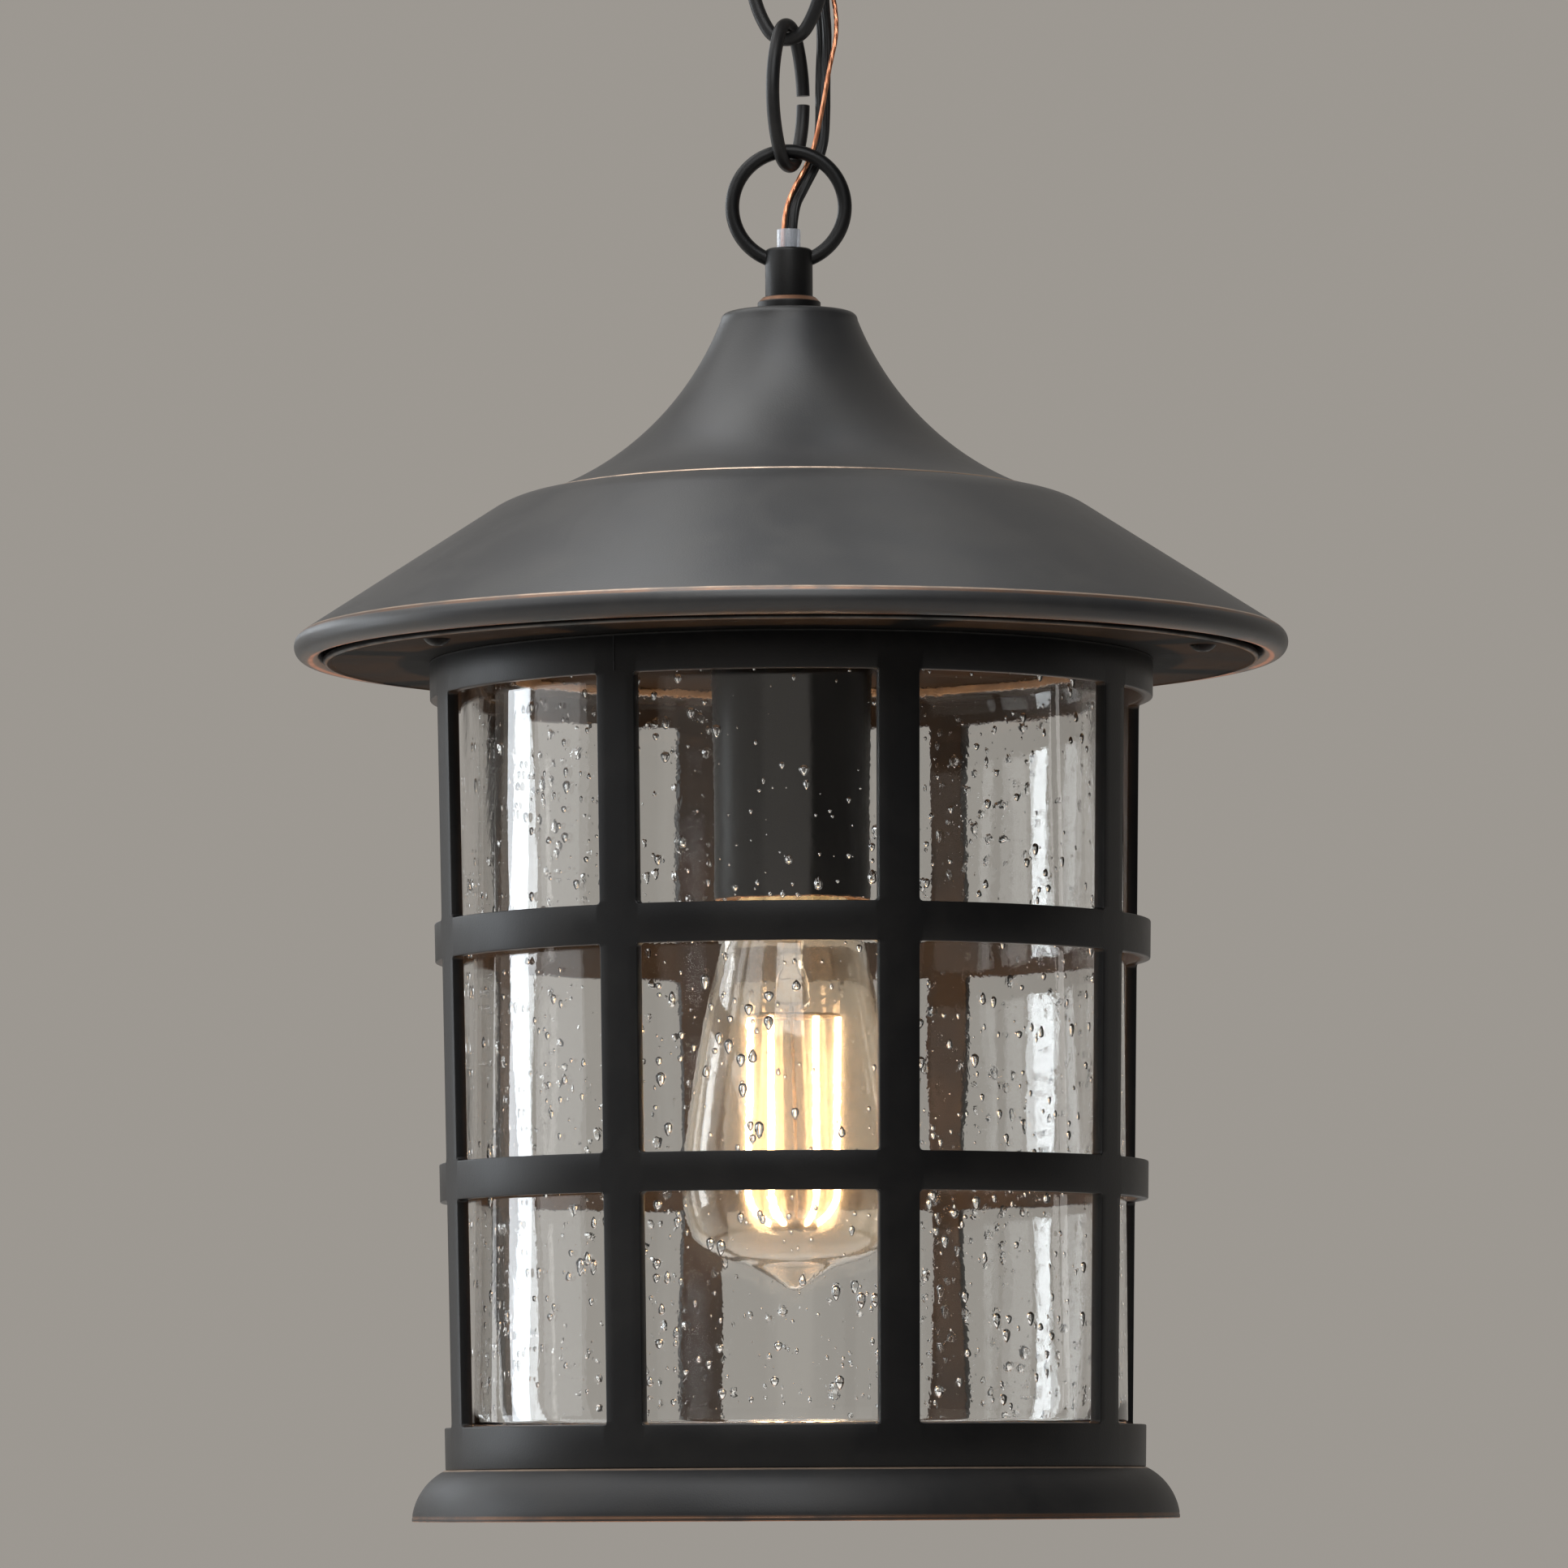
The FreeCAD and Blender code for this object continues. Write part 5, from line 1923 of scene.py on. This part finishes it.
def main() -> None:
    """Build the stage and the lantern, piece by piece."""
    logging.basicConfig(level=logging.INFO, format="%(message)s")
    satin_coat_group()
    wear_and_highlight_ring_group()
    pattern = RoundPattern()
    scatter = SeedScatter()
    Studio().build()
    CeilingMount().build()
    HangingLoop("canopy_", Body.CEILING, -25.0, ("canopy_collar", "canopy_loop_stem", "canopy_loop_ring"),
                flipped=True).build()
    HangingLoop("roof_", Body.LANTERN, -170.6, ("loop_collar", "loop_stem", "loop_ring")).build()
    Chain().build()
    Wires().build()
    Roof().build(pattern)
    Cage().build(pattern)
    GlassTube().build(scatter)
    Socket().build()
    Bulb().build(pattern)


if __name__ == "__main__":
    main()
